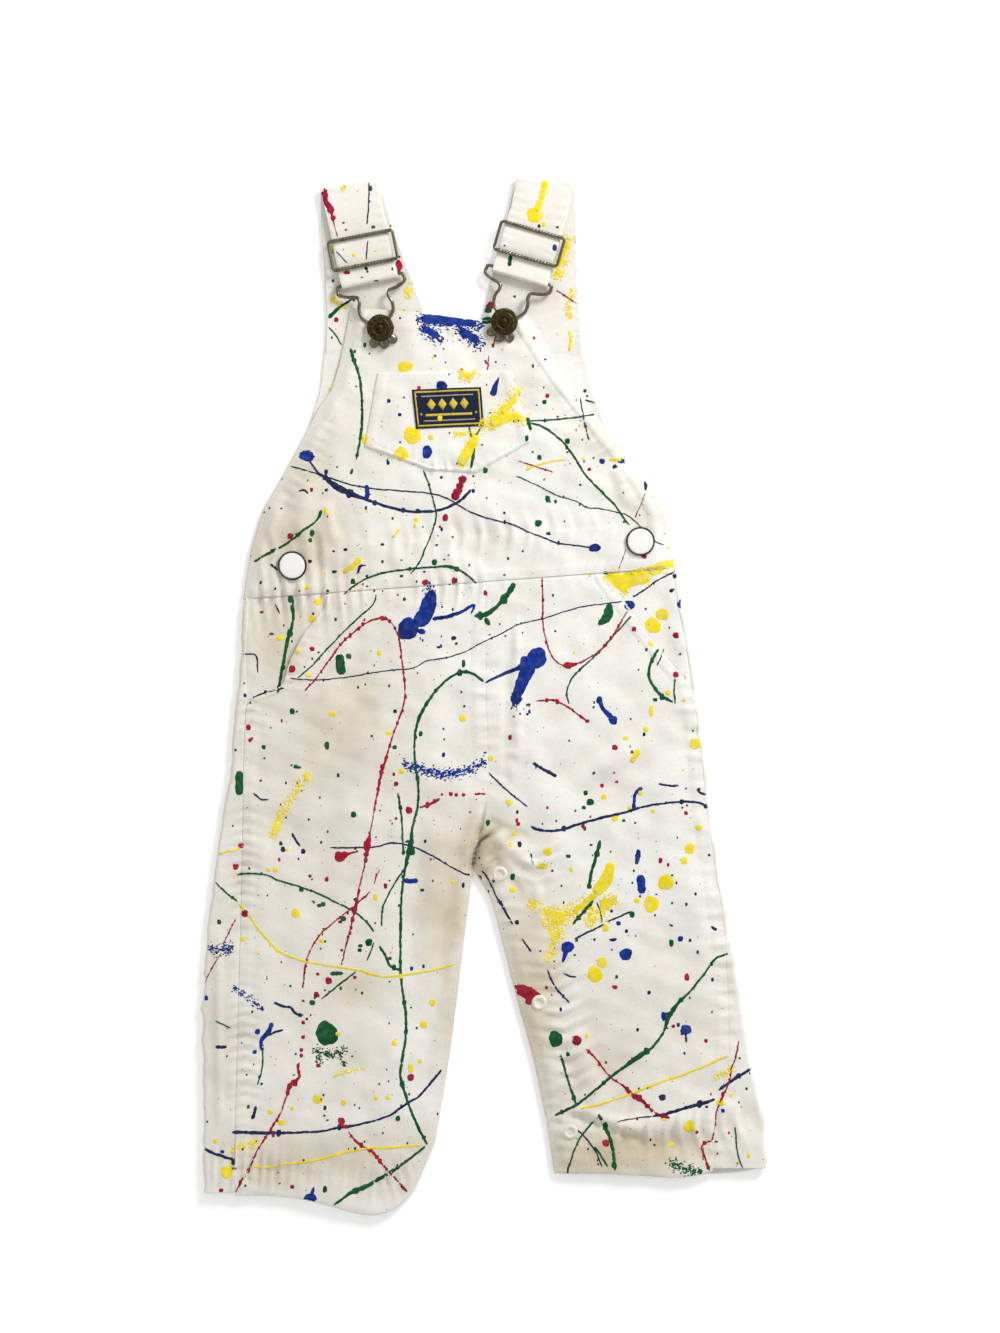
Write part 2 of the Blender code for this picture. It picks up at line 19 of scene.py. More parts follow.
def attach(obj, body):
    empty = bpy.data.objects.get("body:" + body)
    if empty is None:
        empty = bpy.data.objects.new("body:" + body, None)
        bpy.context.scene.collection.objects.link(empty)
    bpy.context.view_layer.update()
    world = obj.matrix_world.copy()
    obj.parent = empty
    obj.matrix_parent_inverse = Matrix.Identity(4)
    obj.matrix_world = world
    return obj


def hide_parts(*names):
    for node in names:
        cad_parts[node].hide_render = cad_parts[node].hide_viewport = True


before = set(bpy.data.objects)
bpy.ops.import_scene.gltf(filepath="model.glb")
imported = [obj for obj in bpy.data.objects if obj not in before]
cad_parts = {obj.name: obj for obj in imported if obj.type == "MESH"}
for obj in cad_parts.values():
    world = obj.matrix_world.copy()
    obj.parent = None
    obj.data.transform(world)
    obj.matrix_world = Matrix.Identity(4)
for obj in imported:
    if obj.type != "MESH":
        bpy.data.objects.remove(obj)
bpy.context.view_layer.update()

bl_info = {
    "name": "Paint Spattered Bib Overalls",
    "version": (1, 0, 0),
    "blender": (4, 5, 0),
    "location": "3D View > Sidebar > Overalls",
    "description": "Makes white bib overalls with buckles, buttons, stitching and spattered paint",
    "category": "Add Mesh",
}

MM = 0.001
BODY = "root"
SIDES = ("right", "left")

# The middle of the tables' outline, which lies at the frame's origin
MIDDLE_X = -0.8
MIDDLE_Y = -0.45

# Heights of the cloth's layers: the top face of each shell. All are in millimetres.
POCKET_BAG_TOP = 2.5
SIDE_TOP = 2.5  # the front's top face where it comes down to a closed side
FRONT_TOP = 4.2
POCKET_TOP = 4.95
LABEL_TOP = 5.6
EDGE_FALL = 8.0  # width over which the front comes down to a closed side
ROLL = 0.32  # how far a turned edge rounds down
ROLL_WIDTH = 1.5
TUCK = 0.65  # how far a piece's edge goes down where its neighbour is sewn over it
TUCK_WIDTH = 3.0
TUCK_STEP = 1.6  # width over which it goes down
WAIST_LAP = 0.6  # how far below the waist seam a leg starts to go under it
CROTCH_LAP = 4.0  # length above the crotch over which the left leg starts to go under the right one
CROTCH_Y = -96.0
CROTCH_RISE = 14.0  # length above the crotch over which the legs' inner sides come up to the front
FELL = 0.28  # how much thicker the cloth is between an edge and its last row of stitching
FELL_STEP = 1.4  # width of the step down from there
ROW_ENDS = 30.0  # how sharply a row of stitching ends, as steps in its edge's length
GROOVE = 0.2  # how deep a row of stitching sinks
GROOVE_WIDTH = 1.0
SAG = 0.05  # how far the garment's lowest face lies above the surface
BACK_ROLL = 0.12  # how far a back piece's rim rolls up from it
BACK_EASE = 6.0  # width inside the rim over which the back's unevenness grows
RIM_STEPS = (0, 0.45, 1.0, 1.8)  # distances from a rim of the rows of points nearest to it
TURN_POINTS = 13  # points round a cloth's fold
TURNED_POINTS = 21  # points across the width that is turned on to the front
TURNED_RELIEF = 0.6  # share of the front's relief that a turned edge has

# Where a hip pocket's piece comes up to the turned edge at the garment's side
MEET_BELOW = 0.35  # how far under the front's face
MEET_FLAT = 2.0  # width at the edge where it is fully up
MEET_WIDTH = 10.0  # width over which it goes down again
MEET_FOOT_Y = 4.0
WAIST_REACH = 18.0  # length below the waist seam over which it comes up to the seam

# The waist seam is a slightly tilted line across the garment
WAIST_Y = 61.8
WAIST_SLOPE = 0.0727

Section = namedtuple("Section", "name left_x left_y right_x right_y bow", defaults=[0])
Leg = namedtuple("Leg", "name outer_x outer_y turn inner_x inner_y")
Fold = namedtuple("Fold", "x0 y0 x1 y1 half_width height")
Seam = namedtuple("Seam", "reach ripple pitch points")
Soil = namedtuple("Soil", "x y across along amount")
Crease = namedtuple("Crease", "half_width amount points")
Snap = namedtuple("Snap", "x y sunk")
Station = namedtuple("Station", "x y tilt")

# Each section of a piece runs from its left end to its right end. Bow is how far it hangs below the
# straight line between them at its lowest, which is right of its middle.
BACK_BIB = [
    Section("waist seam", -133.3, 52.1, 105.7, 69.5),
    Section("side opening", -129.0, 79.5, 101.5, 87.0),
    Section("side top", -122.4, 101.5, 98.2, 101.5),
    Section("armhole low", -109.2, 123.5, 83.9, 123.5),
    Section("armhole mid", -97.6, 145.5, 66.3, 145.5),
    Section("armhole high", -90.5, 167.5, 58.0, 167.5),
    Section("neck", -88.3, 189.7, 53.1, 189.7),
]
BIB = [
    Section("waist seam", -132.8, 52.5, 104.4, 69.7),
    Section("waistband top", -129.1, 78.7, 99.4, 95.3),
    Section("side top", -122.0, 102.0, 97.0, 104.0),
    Section("armhole low", -109.2, 123.5, 83.9, 123.5),
    Section("armhole mid", -97.6, 145.5, 66.8, 145.5),
    Section("armhole high", -91.8, 157.0, 58.0, 156.5),
    Section("bib side low", -84.6, 167.0, 49.4, 167.0),
    Section("bib side", -79.9, 182.0, 38.9, 182.0, 1),
    Section("bib side high", -76.9, 196.5, 30.9, 196.0, 3),
    Section("bib top", -74.0, 212.0, 23.1, 208.5, 4),
]
BIB_POCKET = [
    Section("point", -30.5, 123.2, -5.2, 121.6),
    Section("corners", -66.3, 136.1, 25.3, 138.9),
    Section("mouth", -59.1, 176.5, 14.0, 177.6),
]
LABEL = [
    Section("foot", -38.0, 145.6, -0.8, 147.4),
    Section("head", -40.4, 167.2, -2.4, 168.6),
]
HIP_POCKET = {
    "right": [
        Section("bag foot", -118.0, -25.0, -85.0, -28.0),
        Section("bag side", -132.4, 0.0, -75.0, -2.0),
        Section("mouth", -132.2, 26.0, -66.0, 27.0),
        Section("waist seam", -131.4, 55.0, -60.0, 60.0),
    ],
    "left": [
        Section("bag foot", 86.0, -18.0, 104.0, -14.0),
        Section("bag side", 78.0, 8.0, 113.4, 12.0),
        Section("mouth", 60.0, 38.0, 108.4, 42.0),
        Section("waist seam", 48.0, 68.0, 103.9, 72.0),
    ],
}

# Each section of a leg, from the waist to the hem. The back leg turns over its outer edge on to the
# front by turn, and meets the front leg there.
LEGS = {
    "right": [
        Leg("waist", -133.3, 51.6, 3.0, -0.2, 61.5),
        Leg("pocket foot", -136.0, 4.0, 4.0, -0.4, 4.0),
        Leg("hip", -137.4, -3.2, 6.0, -0.3, -5.0),
        Leg("thigh", -140.5, -43.0, 7.6, 1.7, -45.0),
        Leg("above crotch", -145.6, -73.0, 12.4, -2.4, -72.0),
        Leg("crotch", -148.2, -93.0, 14.6, -6.6, -92.5),
        Leg("knee", -153.2, -131.0, 18.8, -11.3, -131.0),
        Leg("shin", -157.0, -176.0, 21.2, -16.4, -173.0),
        Leg("low shin", -155.2, -205.0, 18.8, -20.6, -204.0),
        Leg("above hem", -155.6, -245.0, 18.1, -27.6, -246.0),
        Leg("hem", -155.2, -273.5, 18.0, -39.0, -271.0),
    ],
    "left": [
        Leg("waist", 105.5, 69.0, 3.0, 0.2, 61.5),
        Leg("pocket foot", 115.2, 14.0, 3.0, 0.4, 12.0),
        Leg("hip", 116.6, 4.0, 3.0, 0.3, -5.0),
        Leg("thigh", 122.5, -45.0, 3.0, 2.3, -45.0),
        Leg("above crotch", 125.2, -73.0, 3.0, -1.6, -72.0),
        Leg("crotch", 128.6, -90.0, 3.0, -6.0, -92.0),
        Leg("low crotch", 131.6, -110.0, 3.2, 2.6, -111.0),
        Leg("knee", 134.6, -130.0, 3.6, 7.8, -130.0),
        Leg("shin", 140.2, -166.0, 7.0, 17.2, -167.0),
        Leg("low shin", 145.6, -200.0, 12.2, 26.4, -200.0),
        Leg("above hem", 153.6, -234.0, 27.4, 33.4, -234.0),
        Leg("hem", 155.4, -260.0, 30.6, 37.8, -261.5),
    ],
}
# The front leg's edge along its slanted pocket, from the waist down, with the centre seam's height.
POCKET_EDGE = {
    "right": [
        (-86.0, 55.3, 61.3),
        (-88.5, 47.0, 49.0),
        (-99.8, 33.6, 33.0),
        (-108.0, 17.0, 18.0),
        (-111.0, 4.0, 4.0),
    ],
    "left": [
        (65.4, 66.2, 61.5),
        (75.6, 51.4, 49.0),
        (91.0, 30.0, 30.0),
        (104.0, 14.5, 13.0),
    ],
}
HEM_DROP = 1.5  # how far the front hem hangs below the back one
HEM_BOW = {"right": 12.5, "left": 3.0}
BOW_LEAN = 2.6  # above 1, the lowest point of a bow moves to the right
CENTRE_GAP = 0.2  # half of the gap between the legs above the crotch

# Soft folds of the front: a ridge along a line, or a trough where the height is negative
FOLDS = [
    Fold(*row)
    for row in (
        (-122, 45, -60, -40, 17, 0.8), (-96, 120, -103, 84, 8, 1.3), (-108, 116, -112, 92, 6, -0.7),
        (-88, 108, -82, 80, 5, 0.9), (-94, 92, -90, 64, 4, -0.8), (-70, 112, -62, 80, 7, 0.6),
        (-52, 96, -48, 66, 6, 0.6), (-22, 92, -18, 66, 6, 0.5), (-52, 108, 14, 106, 16, 0.5),
        (-58, 140, 20, 136, 22, 0.6), (40, 120, 72, 112, 12, 0.6), (70, 128, 80, 100, 6, 0.9),
        (-86, 176, -80, 140, 8, 0.5), (-30, 55, -28, -60, 16, 0.7), (-52, -6, -84, -76, 12, 1.3),
        (-66, 2, -96, -60, 8, -0.7), (-72, 34, -92, -8, 8, 0.7), (-26, -60, -34, -150, 9, 1.0),
        (-14, -78, -24, -170, 7, -0.8), (-118, -78, -100, -150, 16, 0.6), (-40, -130, -52, -235, 20, 0.9),
        (-98, -236, -118, -262, 8, 1.0), (-44, -196, -70, -222, 10, 0.9), (-125, -60, -122, -180, 12, 0.8),
        (-147, -120, -146, -245, 4, 0.9), (17, 52, 18, -44, 4, 0.8), (12, 30, 11, -60, 4, -0.5),
        (20, -20, 44, -95, 14, 0.8), (60, -45, 108, -12, 12, 1.1), (44, -58, 96, -34, 9, -0.7),
        (96, 40, 110, 22, 8, 0.6), (112, -80, 124, -190, 12, 0.9), (96, -40, 108, -120, 12, 0.6),
        (2, -76, 30, -96, 5, 1.5), (0, -84, 22, -112, 4, -0.8), (-1, -68, 26, -80, 4, -0.9),
        (-8.4, -99, -2, -71, 2.3, -2.6), (-9, -86, 9, -72, 2.2, -2.2), (0, -93, 16, -76, 3, -1.2),
        (-15, -88, 0, -60, 4.5, 1.2), (-4, -97, 16, -84, 3, 1.1), (28, -100, 30, -128, 5, 0.8),
        (46, -180, 66, -232, 10, 0.9), (62, -238, 118, -234, 8, 1.2), (42, -229, 92, -247, 4.5, -1.4),
        (40, -224, 90, -240, 5, 1.0), (70, -250, 120, -246, 7, -0.8), (130, -220, 146, -252, 8, 0.9),
    )
]
FOLD_TAPER = 0.22  # share of a fold's length over which each end dies away

# Seams draw the cloth into puckers that cross them: how far the puckers reach, how high they stand and
# their spacing, then the seam's line
SEAMS = {
    "waist left": Seam(16, 1.0, 6.5, [(-133, 52), (-96, 54.8), (-60, 57.4)]),
    "waist middle": Seam(12, 0.62, 7.5, [(-60, 57.4), (0, 61.8)]),
    "waist right": Seam(9, 0.25, 9, [(0, 61.8), (60, 66.2), (105, 69.5)]),
    "waistband top": Seam(10, 0.6, 8, [(-129, 79), (-60, 84), (0, 88), (100, 95)]),
    "bib side right": Seam(
        6, 0.35, 6, [(-112, 100), (-99, 124), (-88, 145), (-76, 165), (-71, 182), (-66, 208)]
    ),
    "bib side left": Seam(6, 0.35, 6, [(90, 100), (74, 124), (57, 145), (45, 160), (31, 182), (18, 205)]),
    "bib hem": Seam(6, 0.3, 8, [(-74, 198), (-30, 196), (26, 195)]),
    "outseam right": Seam(8, 0.6, 6, [(-129, 0), (-131, -58), (-133, -100), (-132, -230), (-132, -274)]),
    "outseam left": Seam(
        7,
        0.4,
        8,
        [(112, 6), (116, -28), (118, -64), (122, -93), (130, -140), (134, -190), (127, -230), (125, -262)],
    ),
    "centre front": Seam(6, 0.3, 10, [(0.3, 61), (0.3, -5), (1.7, -45), (-2, -72), (-6, -92)]),
    "fly": Seam(5, 0.3, 9, [(16, 60), (16.5, -20), (12, -45), (2, -58)]),
    "placket": Seam(
        12, 0.75, 7.5, [(27, -80), (28, -108), (33, -130), (40, -167), (46, -200), (53, -234), (57, -262)]
    ),
    "inseam left": Seam(
        10, 0.6, 8, [(-4, -94), (4, -112), (9, -130), (18, -167), (27, -200), (35, -234), (38, -262)]
    ),
    "inseam right": Seam(5, 0.3, 9, [(-8, -92), (-13, -131), (-18, -173), (-23, -204), (-30, -246)]),
    "hip right": Seam(9, 0.55, 6, [(-88, 50), (-90, 44), (-100, 33), (-108, 17), (-111, 4)]),
    "hip bag right": Seam(10, 0.5, 6, [(-132, 40), (-122, 38), (-112, 40)]),
    "hip left": Seam(5, 0.3, 8, [(65, 67), (78, 49), (92, 30), (104, 14)]),
    "hem right": Seam(10, 0.7, 5.5, [(-155, -258), (-120, -261), (-90, -264), (-60, -268), (-38, -262)]),
    "hem left": Seam(
        12, 0.7, 8, [(34, -230), (55, -231), (80, -236), (104, -240), (128, -237), (154, -232)]
    ),
    "pocket": Seam(5, 0.3, 6, [(-59, 172), (-66, 137), (-31, 124), (-5, 122), (25, 139), (14, 173)]),
}
PUCKER_SLANT = 0.3  # how far a pucker leans along its seam
SEAM_TURN = 2.4  # radians by which each seam's puckers differ from those of the seam before
LEAST_RELIEF = -1.7
MOST_RELIEF = 2.6
BAG_RELIEF = (-0.7, 0.6)  # the same limits for the hip pockets
BACK_RELIEF = (-0.12, 0.75)  # and for the back
SLUBS = ((0.24, 34.0), (0.1, 15.0))  # heights and spacings of the cloth's own unevenness
BACK_SLUBS = ((0.07, 24.0),)  # the same for the back
FLOW = 14  # random waves in each unevenness
SLUB_SEED = 11
EDGE_WAVER = ((0.6, 30.0), (0.2, 12.0))  # the same for how far in the outer edge wavers

# Where wear and washing have left the cotton yellower, and where shade is painted into it in the same warm
# tone: a place, half sizes and how strong the tone is there
SOIL_EVERYWHERE = 0.05
SOIL_AND_SHADE_IN_ZONES = 0.85
# Painted shade in the hollows of the relief
SHADE_IN_HOLLOWS = 0.22
SOIL_AND_SHADE_ZONES = [
    Soil(*row)
    for row in (
        (-24, -110, 17, 54, 0.95), (-18, -165, 11, 60, 0.7), (-3, -86, 18, 22, 1.2),
        (-80, -20, 42, 52, 0.7), (-100, 85, 36, 26, 0.8), (-115, 30, 24, 32, 0.75),
        (-72, -160, 26, 20, 0.6), (-88, -255, 64, 20, 0.75), (-146, -190, 10, 70, 0.45),
        (-95, -40, 62, 190, 0.42), (24, -170, 19, 70, 0.9), (60, -205, 38, 34, 0.55),
        (96, -190, 40, 50, 0.25), (74, -252, 46, 17, 1.15), (62, 140, 20, 20, 0.3),
        (84, 112, 16, 18, 0.35), (-98, 118, 18, 26, 0.65), (-60, 235, 34, 50, 0.35),
        (30, 235, 30, 50, 0.3), (0, 150, 26, 30, 0.15),
    )
]

# The deepest creases, where shade is painted into the cloth's colour: half-width, how dark the painted shade
# is, and the crease's line
SHADED_CREASES = [
    Crease(1.4, 1.0, [(-6.9, -95), (-5.8, -88), (-4.4, -81.5)]),
    Crease(1.1, 1.0, [(-5.6, -86), (-2.8, -80.4), (0.4, -78), (5.4, -75.3)]),
    Crease(3.5, 0.3, [(-4.5, -93), (-2.5, -85), (1, -79)]),
    Crease(0.9, 0.5, [(-4.4, -82), (-3.2, -77), (-2.0, -72), (0.6, -58)]),
    Crease(1.1, 0.3, [(-0.6, -93.4), (5, -90.5), (11.9, -86.2)]),
]

# Straps: sections of the ply that lies on the surface, from the back bib up to the shoulder fold
STRAP_HALF_WIDTH = 15.75
STRAP_PLY = 1.0  # thickness of the doubled strap
STRAP_TAIL = 6.0  # length of strap that is sewn under the back bib
STRAP_TAIL_SUNK = 0.45
STRAP_PUCKER = 0.22  # height of the puckers along its rows of stitching
STRAP_PUCKER_PITCH = 5.3
STRAP_ROLL = 0.3
STRAP_SLUB = 0.35  # share of the cloth's own unevenness that it has
REAR_RELIEF = 0.35  # the rear ply's unevenness as a share of the front's
STRAP_LOOSE = 40.0  # length of its end, behind the slider, that gets flat
STRAP_STITCH_INSET = 1.9
REAR_STITCH_INSET = 2.0
REAR_STITCH_TOP = 2.0  # the rows on the rear ply show only below this height
# Distances from the slider's middle, and how far the strap bulges or sinks there
SLIDER_BULGES = ((12, 0.0), (8.5, -0.2), (4, 0.7), (0, 0.9), (-4, 0.7), (-8.5, -0.2), (-11, 0.1))
SHOULDER_POINTS = 11
SLIDER_UNDER = (-9, 11)  # where the strap's end runs behind the slider
REAR_STRAP = {
    "right": [
        Section("seam", -88.0, 190.0, -27.0, 190.0),
        Section("bib top", -87.3, 206.0, -32.2, 206.5),
        Section("under slider", -88.6, 236.0, -43.5, 236.0),
        Section("upper", -90.4, 258.0, -51.5, 258.5),
        Section("shoulder", -90.6, 276.5, -58.6, 281.6),
    ],
    "left": [
        Section("seam", -6.0, 190.0, 53.0, 190.0),
        Section("bib top", -2.0, 206.5, 52.0, 206.0),
        Section("under slider", 5.0, 236.0, 50.3, 236.0),
        Section("upper", 10.6, 258.0, 49.9, 258.0),
        Section("shoulder", 16.6, 282.6, 48.6, 280.0),
    ],
}
FRONT_STRAP = {
    "right": {
        "top": Station(-74.4, 279.0, 8.0),
        "upper": Station(-71.6, 264.0, 10.0),
        "slider": Station(-67.3, 243.6, 11.0),
        "bar": Station(-63.6, 227.6, 12.0),
        "button": Station(-57.5, 200.8, 12.5),
    },
    "left": {
        "top": Station(32.4, 281.4, -5.0),
        "upper": Station(29.4, 264.5, -12.0),
        "slider": Station(24.0, 247.2, -16.0),
        "bar": Station(19.2, 229.6, -16.5),
        "button": Station(10.4, 204.2, -18.0),
    },
}
# Heights of the strap's outer face along it
STRAP_LOW_Z = 0.2  # under the ply that lies on the surface
SHOULDER_TOP_Z = 3.7
STRAP_TOP_Z = 4.2  # on top of the front ply
STRAP_UNDER_Z = 1.9  # under the end that comes back up behind

# Half of the wire buckle in its own plane: across it and from the button towards the strap's bar
WIRE_ROUTE = [
    (18.6, 25.4), (18.2, 22.6), (14.0, 20.6), (9.2, 19.4), (8.2, 16.4), (9.4, 12.4), (8.6, 7.6),
    (5.2, 3.6), (4.3, -0.5), (3.2, -4.4),
]
BAR_REACH = 27.4
BAR_STRAIGHT = 16.5
BAR_Z = 3.9  # the bar's middle, inside the strap's loop
LOOP_RADIUS = 2.0
LOOP_LOW = 0.2  # how far below the bar's station the loop's middle is
WIRE_FOOT = -5.8
WIRE_FLAT = 15.0  # length of it, from the button, that lies level
WIRE_FALL = 10.0  # length over which it goes down into the strap's loop
WIRE_Z = 5.5  # the wire's middle, over the bib
ON_FRONT_Z = 4.5  # the foot of what is fixed on the front
CATCH_INNER = 5.2
CATCH_NOTCH = 8.6
CATCH_LOBE = 3.0
CATCH_TURN = 36.0  # degrees from one lobe to the next
CATCH_HIGH = 2.2
CATCH_WALL = 0.5
CATCH_LIFT = 0.35  # above the front's foot
SLIDER_LIFT = 0.75
SIDE_BUTTON_RADIUS = 8.0
SNAP_RADIUS = 4.0
REST_SHARE = 0.7  # a round thing rests on what lies at this share of its radius
SIDE_BUTTONS = {"right": (-105.9, 70.7), "left": (85.0, 84.0)}
# Snap rings on the placket: where each is, and how far it is sunk into the cloth
SNAPS = [Snap(8.0, -98.5, 0.75), Snap(29.6, -169.0, 0.2), Snap(46.6, -239.8, 0.55)]

# Rows of stitching: which edge of a piece each follows, how far inside it, and over which share of it
Row = namedtuple("Row", "piece edge insets start end soft", defaults=[3.0])
ROWS = [
    Row("bib", "low", (1.6, 6.8), 0.01, 0.99),
    Row("bib", "low", (26.4,), 0.02, 0.98),
    Row("bib", "left", (1.6, 10.0), 0.20, 0.99),
    Row("bib", "right", (1.6, 10.0), 0.20, 0.99),
    Row("bib", "high", (1.6, 11.5), 0.02, 0.98),
    Row("bib pocket", "left", (1.3, 6.0), 0.0, 1.0, 1.0),
    Row("bib pocket", "right", (1.3, 6.0), 0.0, 1.0, 1.0),
    Row("bib pocket", "low", (1.3, 6.0), 0.0, 1.0, 1.0),
    Row("bib pocket", "high", (1.6, 13.5), 0.03, 0.97, 1.0),
    Row("front leg right", "left", (1.6, 7.2), 0.01, 0.99),
    Row("front leg right", "right", (1.6, 7.2), 0.50, 0.99),
    Row("front leg right", "right", (1.8,), 0.01, 0.50),
    Row("front leg right", "low", (13.0,), 0.01, 0.99),
    Row("front leg left", "right", (1.6, 7.2), 0.01, 0.99),
    Row("front leg left", "left", (1.8,), 0.01, 0.99),
    Row("front leg left", "low", (26.5,), 0.01, 0.99),
]
UNDER_ROWS = [
    Row("back bib", "low", (2.0, 7.0), 0.01, 0.99),
    Row("back bib", "left", (3.0, 10.0), 0.2, 0.99),
    Row("back bib", "right", (3.0, 10.0), 0.2, 0.99),
    Row("back bib", "high", (3.0, 10.0), 0.02, 0.98),
    Row("back leg right", "right", (3.0, 8.0), 0.5, 0.99),
    Row("back leg right", "right", (3.0,), 0.01, 0.5),
    Row("back leg left", "left", (3.0,), 0.01, 0.99),
    Row("back leg right", "low", (13.0,), 0.01, 0.97),
    Row("back leg left", "low", (26.0,), 0.03, 0.99),
]
# Other lines of stitching: offsets to a line's left, and its points
LINES = [
    ((0, 3.2), [(16.5, 60), (16.6, 30), (16.4, 8), (14.6, -2), (9.5, -9), (2.5, -13)]),
    (
        (0, 5),
        [(28, -84), (28.5, -108), (33, -130), (37, -150), (41, -167), (46, -200), (53, -234), (57, -262)],
    ),
]

# The woven label's figures: each piece's name and material, its bars as two corners, and its diamonds
# as a middle and half sizes, all in shares of the label
LABEL_FIGURES = [
    (
        "label_border",
        "yellow damask",
        [
            (0.03, 0.05, 0.97, 0.09),
            (0.03, 0.91, 0.97, 0.95),
            (0.03, 0.09, 0.05, 0.91),
            (0.95, 0.09, 0.97, 0.91),
            (0.16, 0.30, 0.84, 0.36),
        ],
        [(0.26 + 0.16 * number, 0.60, 0.065, 0.15) for number in range(4)],
    ),
    (
        "label_bars",
        "pale damask",
        [(0.12, 0.80, 0.88, 0.83), (0.12, 0.17, 0.88, 0.20)],
        [(0.10, 0.36, 0.02, 0.04), (0.90, 0.36, 0.02, 0.04)],
    ),
]

# Hardware profiles: radius, height and the height of their ripples, from the top's middle to the foot's
TACK_BUTTON = [
    (0, 4.5, 0), (0.9, 4.48, 0), (1.3, 4.2, 0.05), (1.8, 4.16, 0.12), (2.4, 4.34, 0.2), (3.1, 4.34, 0.2),
    (3.6, 4.14, 0.12), (4.0, 4.1, 0), (4.3, 4.34, 0), (4.7, 4.36, 0), (5.0, 4.1, 0.05), (5.4, 4.06, 0.14),
    (5.9, 4.16, 0.22), (6.4, 4.08, 0.2), (6.8, 3.9, 0.08), (7.15, 3.86, 0), (7.36, 3.64, 0), (7.4, 3.3, 0),
    (7.4, 2.75, 0), (7.25, 2.4, 0), (6.8, 2.3, 0), (2.2, 2.3, 0), (2.2, 0, 0), (0, 0, 0),
]
SIDE_RIM = [
    (0, 1.0, 0), (6.95, 1.0, 0), (7.1, 1.5, 0), (7.25, 1.85, 0), (7.5, 1.98, 0), (7.75, 1.8, 0),
    (7.92, 1.4, 0), (7.95, 0.8, 0), (7.8, 0.2, 0), (7.4, -0.1, 0), (0, -0.1, 0),
]
SIDE_FACE = [
    (0, 1.8, 0), (2.5, 1.79, 0), (5.2, 1.74, 0), (6.5, 1.66, 0), (7.0, 1.5, 0), (7.12, 1.2, 0),
    (6.9, 0.9, 0), (0, 0.9, 0),
]
SNAP = [
    (0, 0.5, 0), (1.5, 0.5, 0), (1.8, 0.7, 0), (2.1, 1.15, 0), (2.6, 1.48, 0), (3.1, 1.5, 0),
    (3.7, 1.25, 0), (4.1, 0.8, 0), (4.25, 0.4, 0), (4.1, 0.0, 0), (3.7, -0.1, 0), (0, -0.1, 0),
]
SLIDER_HALF_WIDTH = 18.0
SLIDER_HALF_HEIGHT = 8.0
SLIDER_RADIUS = 1.0
SLIDER_STEP = 0.45  # spacing of the points round its frame
SLIDER_THIN = 0.82  # thickness of its side wires as a share of its toothed bars
TOOTH_PITCH = 1.8
TOOTH_DEPTH = 0.18  # as a share of the bar's radius
TOOTH_MARGIN = 3.5  # length at a bar's ends that has no teeth

# Thin things on the cloth
THREAD_SIDES = 5
# Rings along a stitch: the place in half lengths, and how far it sinks and how thick it is, in radii
STITCH_RINGS = ((-1, -1.5, 0.0), (-0.72, -0.6, 0.9), (0, -0.45, 1.0), (0.72, -0.6, 0.9), (1, -1.5, 0.0))
STITCH_TILT = 1.0  # a stitch whose cloth steps by more than this is left out
STITCH_TOP = 5.35  # above this is the label, which covers the rows
ANY_HEIGHT = 99.0
CLEAR_ABOVE = 40  # a height over all cloth
CLEAR_BELOW = 10  # a depth under all cloth
FIGURE_LIFT = 0.06  # how far the label's figures stand on it
FIGURE_THICK = 0.25
FIGURE_STEP = 1.4  # spacing of their points
MOST_STEP = 0.9  # a face that spans a bigger step between two layers is left out
PAINT_STEP = 1.3  # spacing of a paint mark's points
BLOB_STEP = 0.9
PAINT_HIGH = 0.2  # how high a mark's middle stands
PAINT_UNDER = 0.12  # how much of its thickness goes down into the cloth
PAINT_SUNK = 0.22  # how far its rim goes down, below the face of the cloth
THIN_COLUMNS = np.array([-1, -0.72, 0.72, 1])
STROKE_COLUMNS = np.array([-1, -0.72, 0, 0.72, 1])
RUN_SHARE = 0.88  # a run's mean width as a share of its fullest
THIN_RUN = 3.1  # a run whose width is under this is thinner between its beads
FINE_RUN = 2  # under this width a run has four points across it
BROAD_RUN = 4  # over this width it has more than five
WAVERING_RUN = 2.6  # over this width its edges waver less
COURSE_WAVER = 0.2
LEAST_HALF_RUN = 0.28
BLOB_WAVES = ((2, 1.0), (3, 0.9), (5, 0.7), (9, 0.4))  # waves round a drop's outline, and their shares
DABS = 1.0  # dabs of a dry brush on each square millimetre
BEAD_SCATTER = 0.2
DAB_SCATTER = 0.4
DAB_SUNK = 0.02
SPECK_AREA = (156, 285)  # half of the area that single specks fall on
SPECK_SCATTER = 13.0  # how far the other specks fall from larger marks
LEAST_SPECK = 1.05
MEAN_SPECK = 0.62  # above the least
MOST_SPECK = 3.6
BACK_SPECKS = 0.3  # specks on the back as a share of the front's

# The stage, in metres
Lamp = namedtuple("Lamp", "name place size")
LAMPS = (Lamp("key", (0.8, 1.0, 0.72), 0.55), Lamp("fill", (-1.1, -0.7, 1.3), 1.2))
SENSOR = 36  # the camera's film, in millimetres
FLOOR_SIZE = 2.5
FLOOR_Z = -0.45  # in millimetres
FLOOR_GLOW = 0.22  # added where the surface is seen, so that it is white

# Each paint: its share of the small specks, how much of its width a thin run has between its beads, how
# far its width wavers, and how far apart its beads are, in millimetres
Coat = namedtuple("Coat", "share thin waver beads")
COATS = {
    "yellow": Coat(0.13, 0.66, 0.2, 34.0),
    "blue": Coat(0.14, 0.88, 0.22, 40.0),
    "navy": Coat(0.22, 0.82, 0.22, 26.0),
    "green": Coat(0.38, 0.82, 0.28, 20.0),
    "red": Coat(0.16, 0.6, 0.55, 6.0),
}
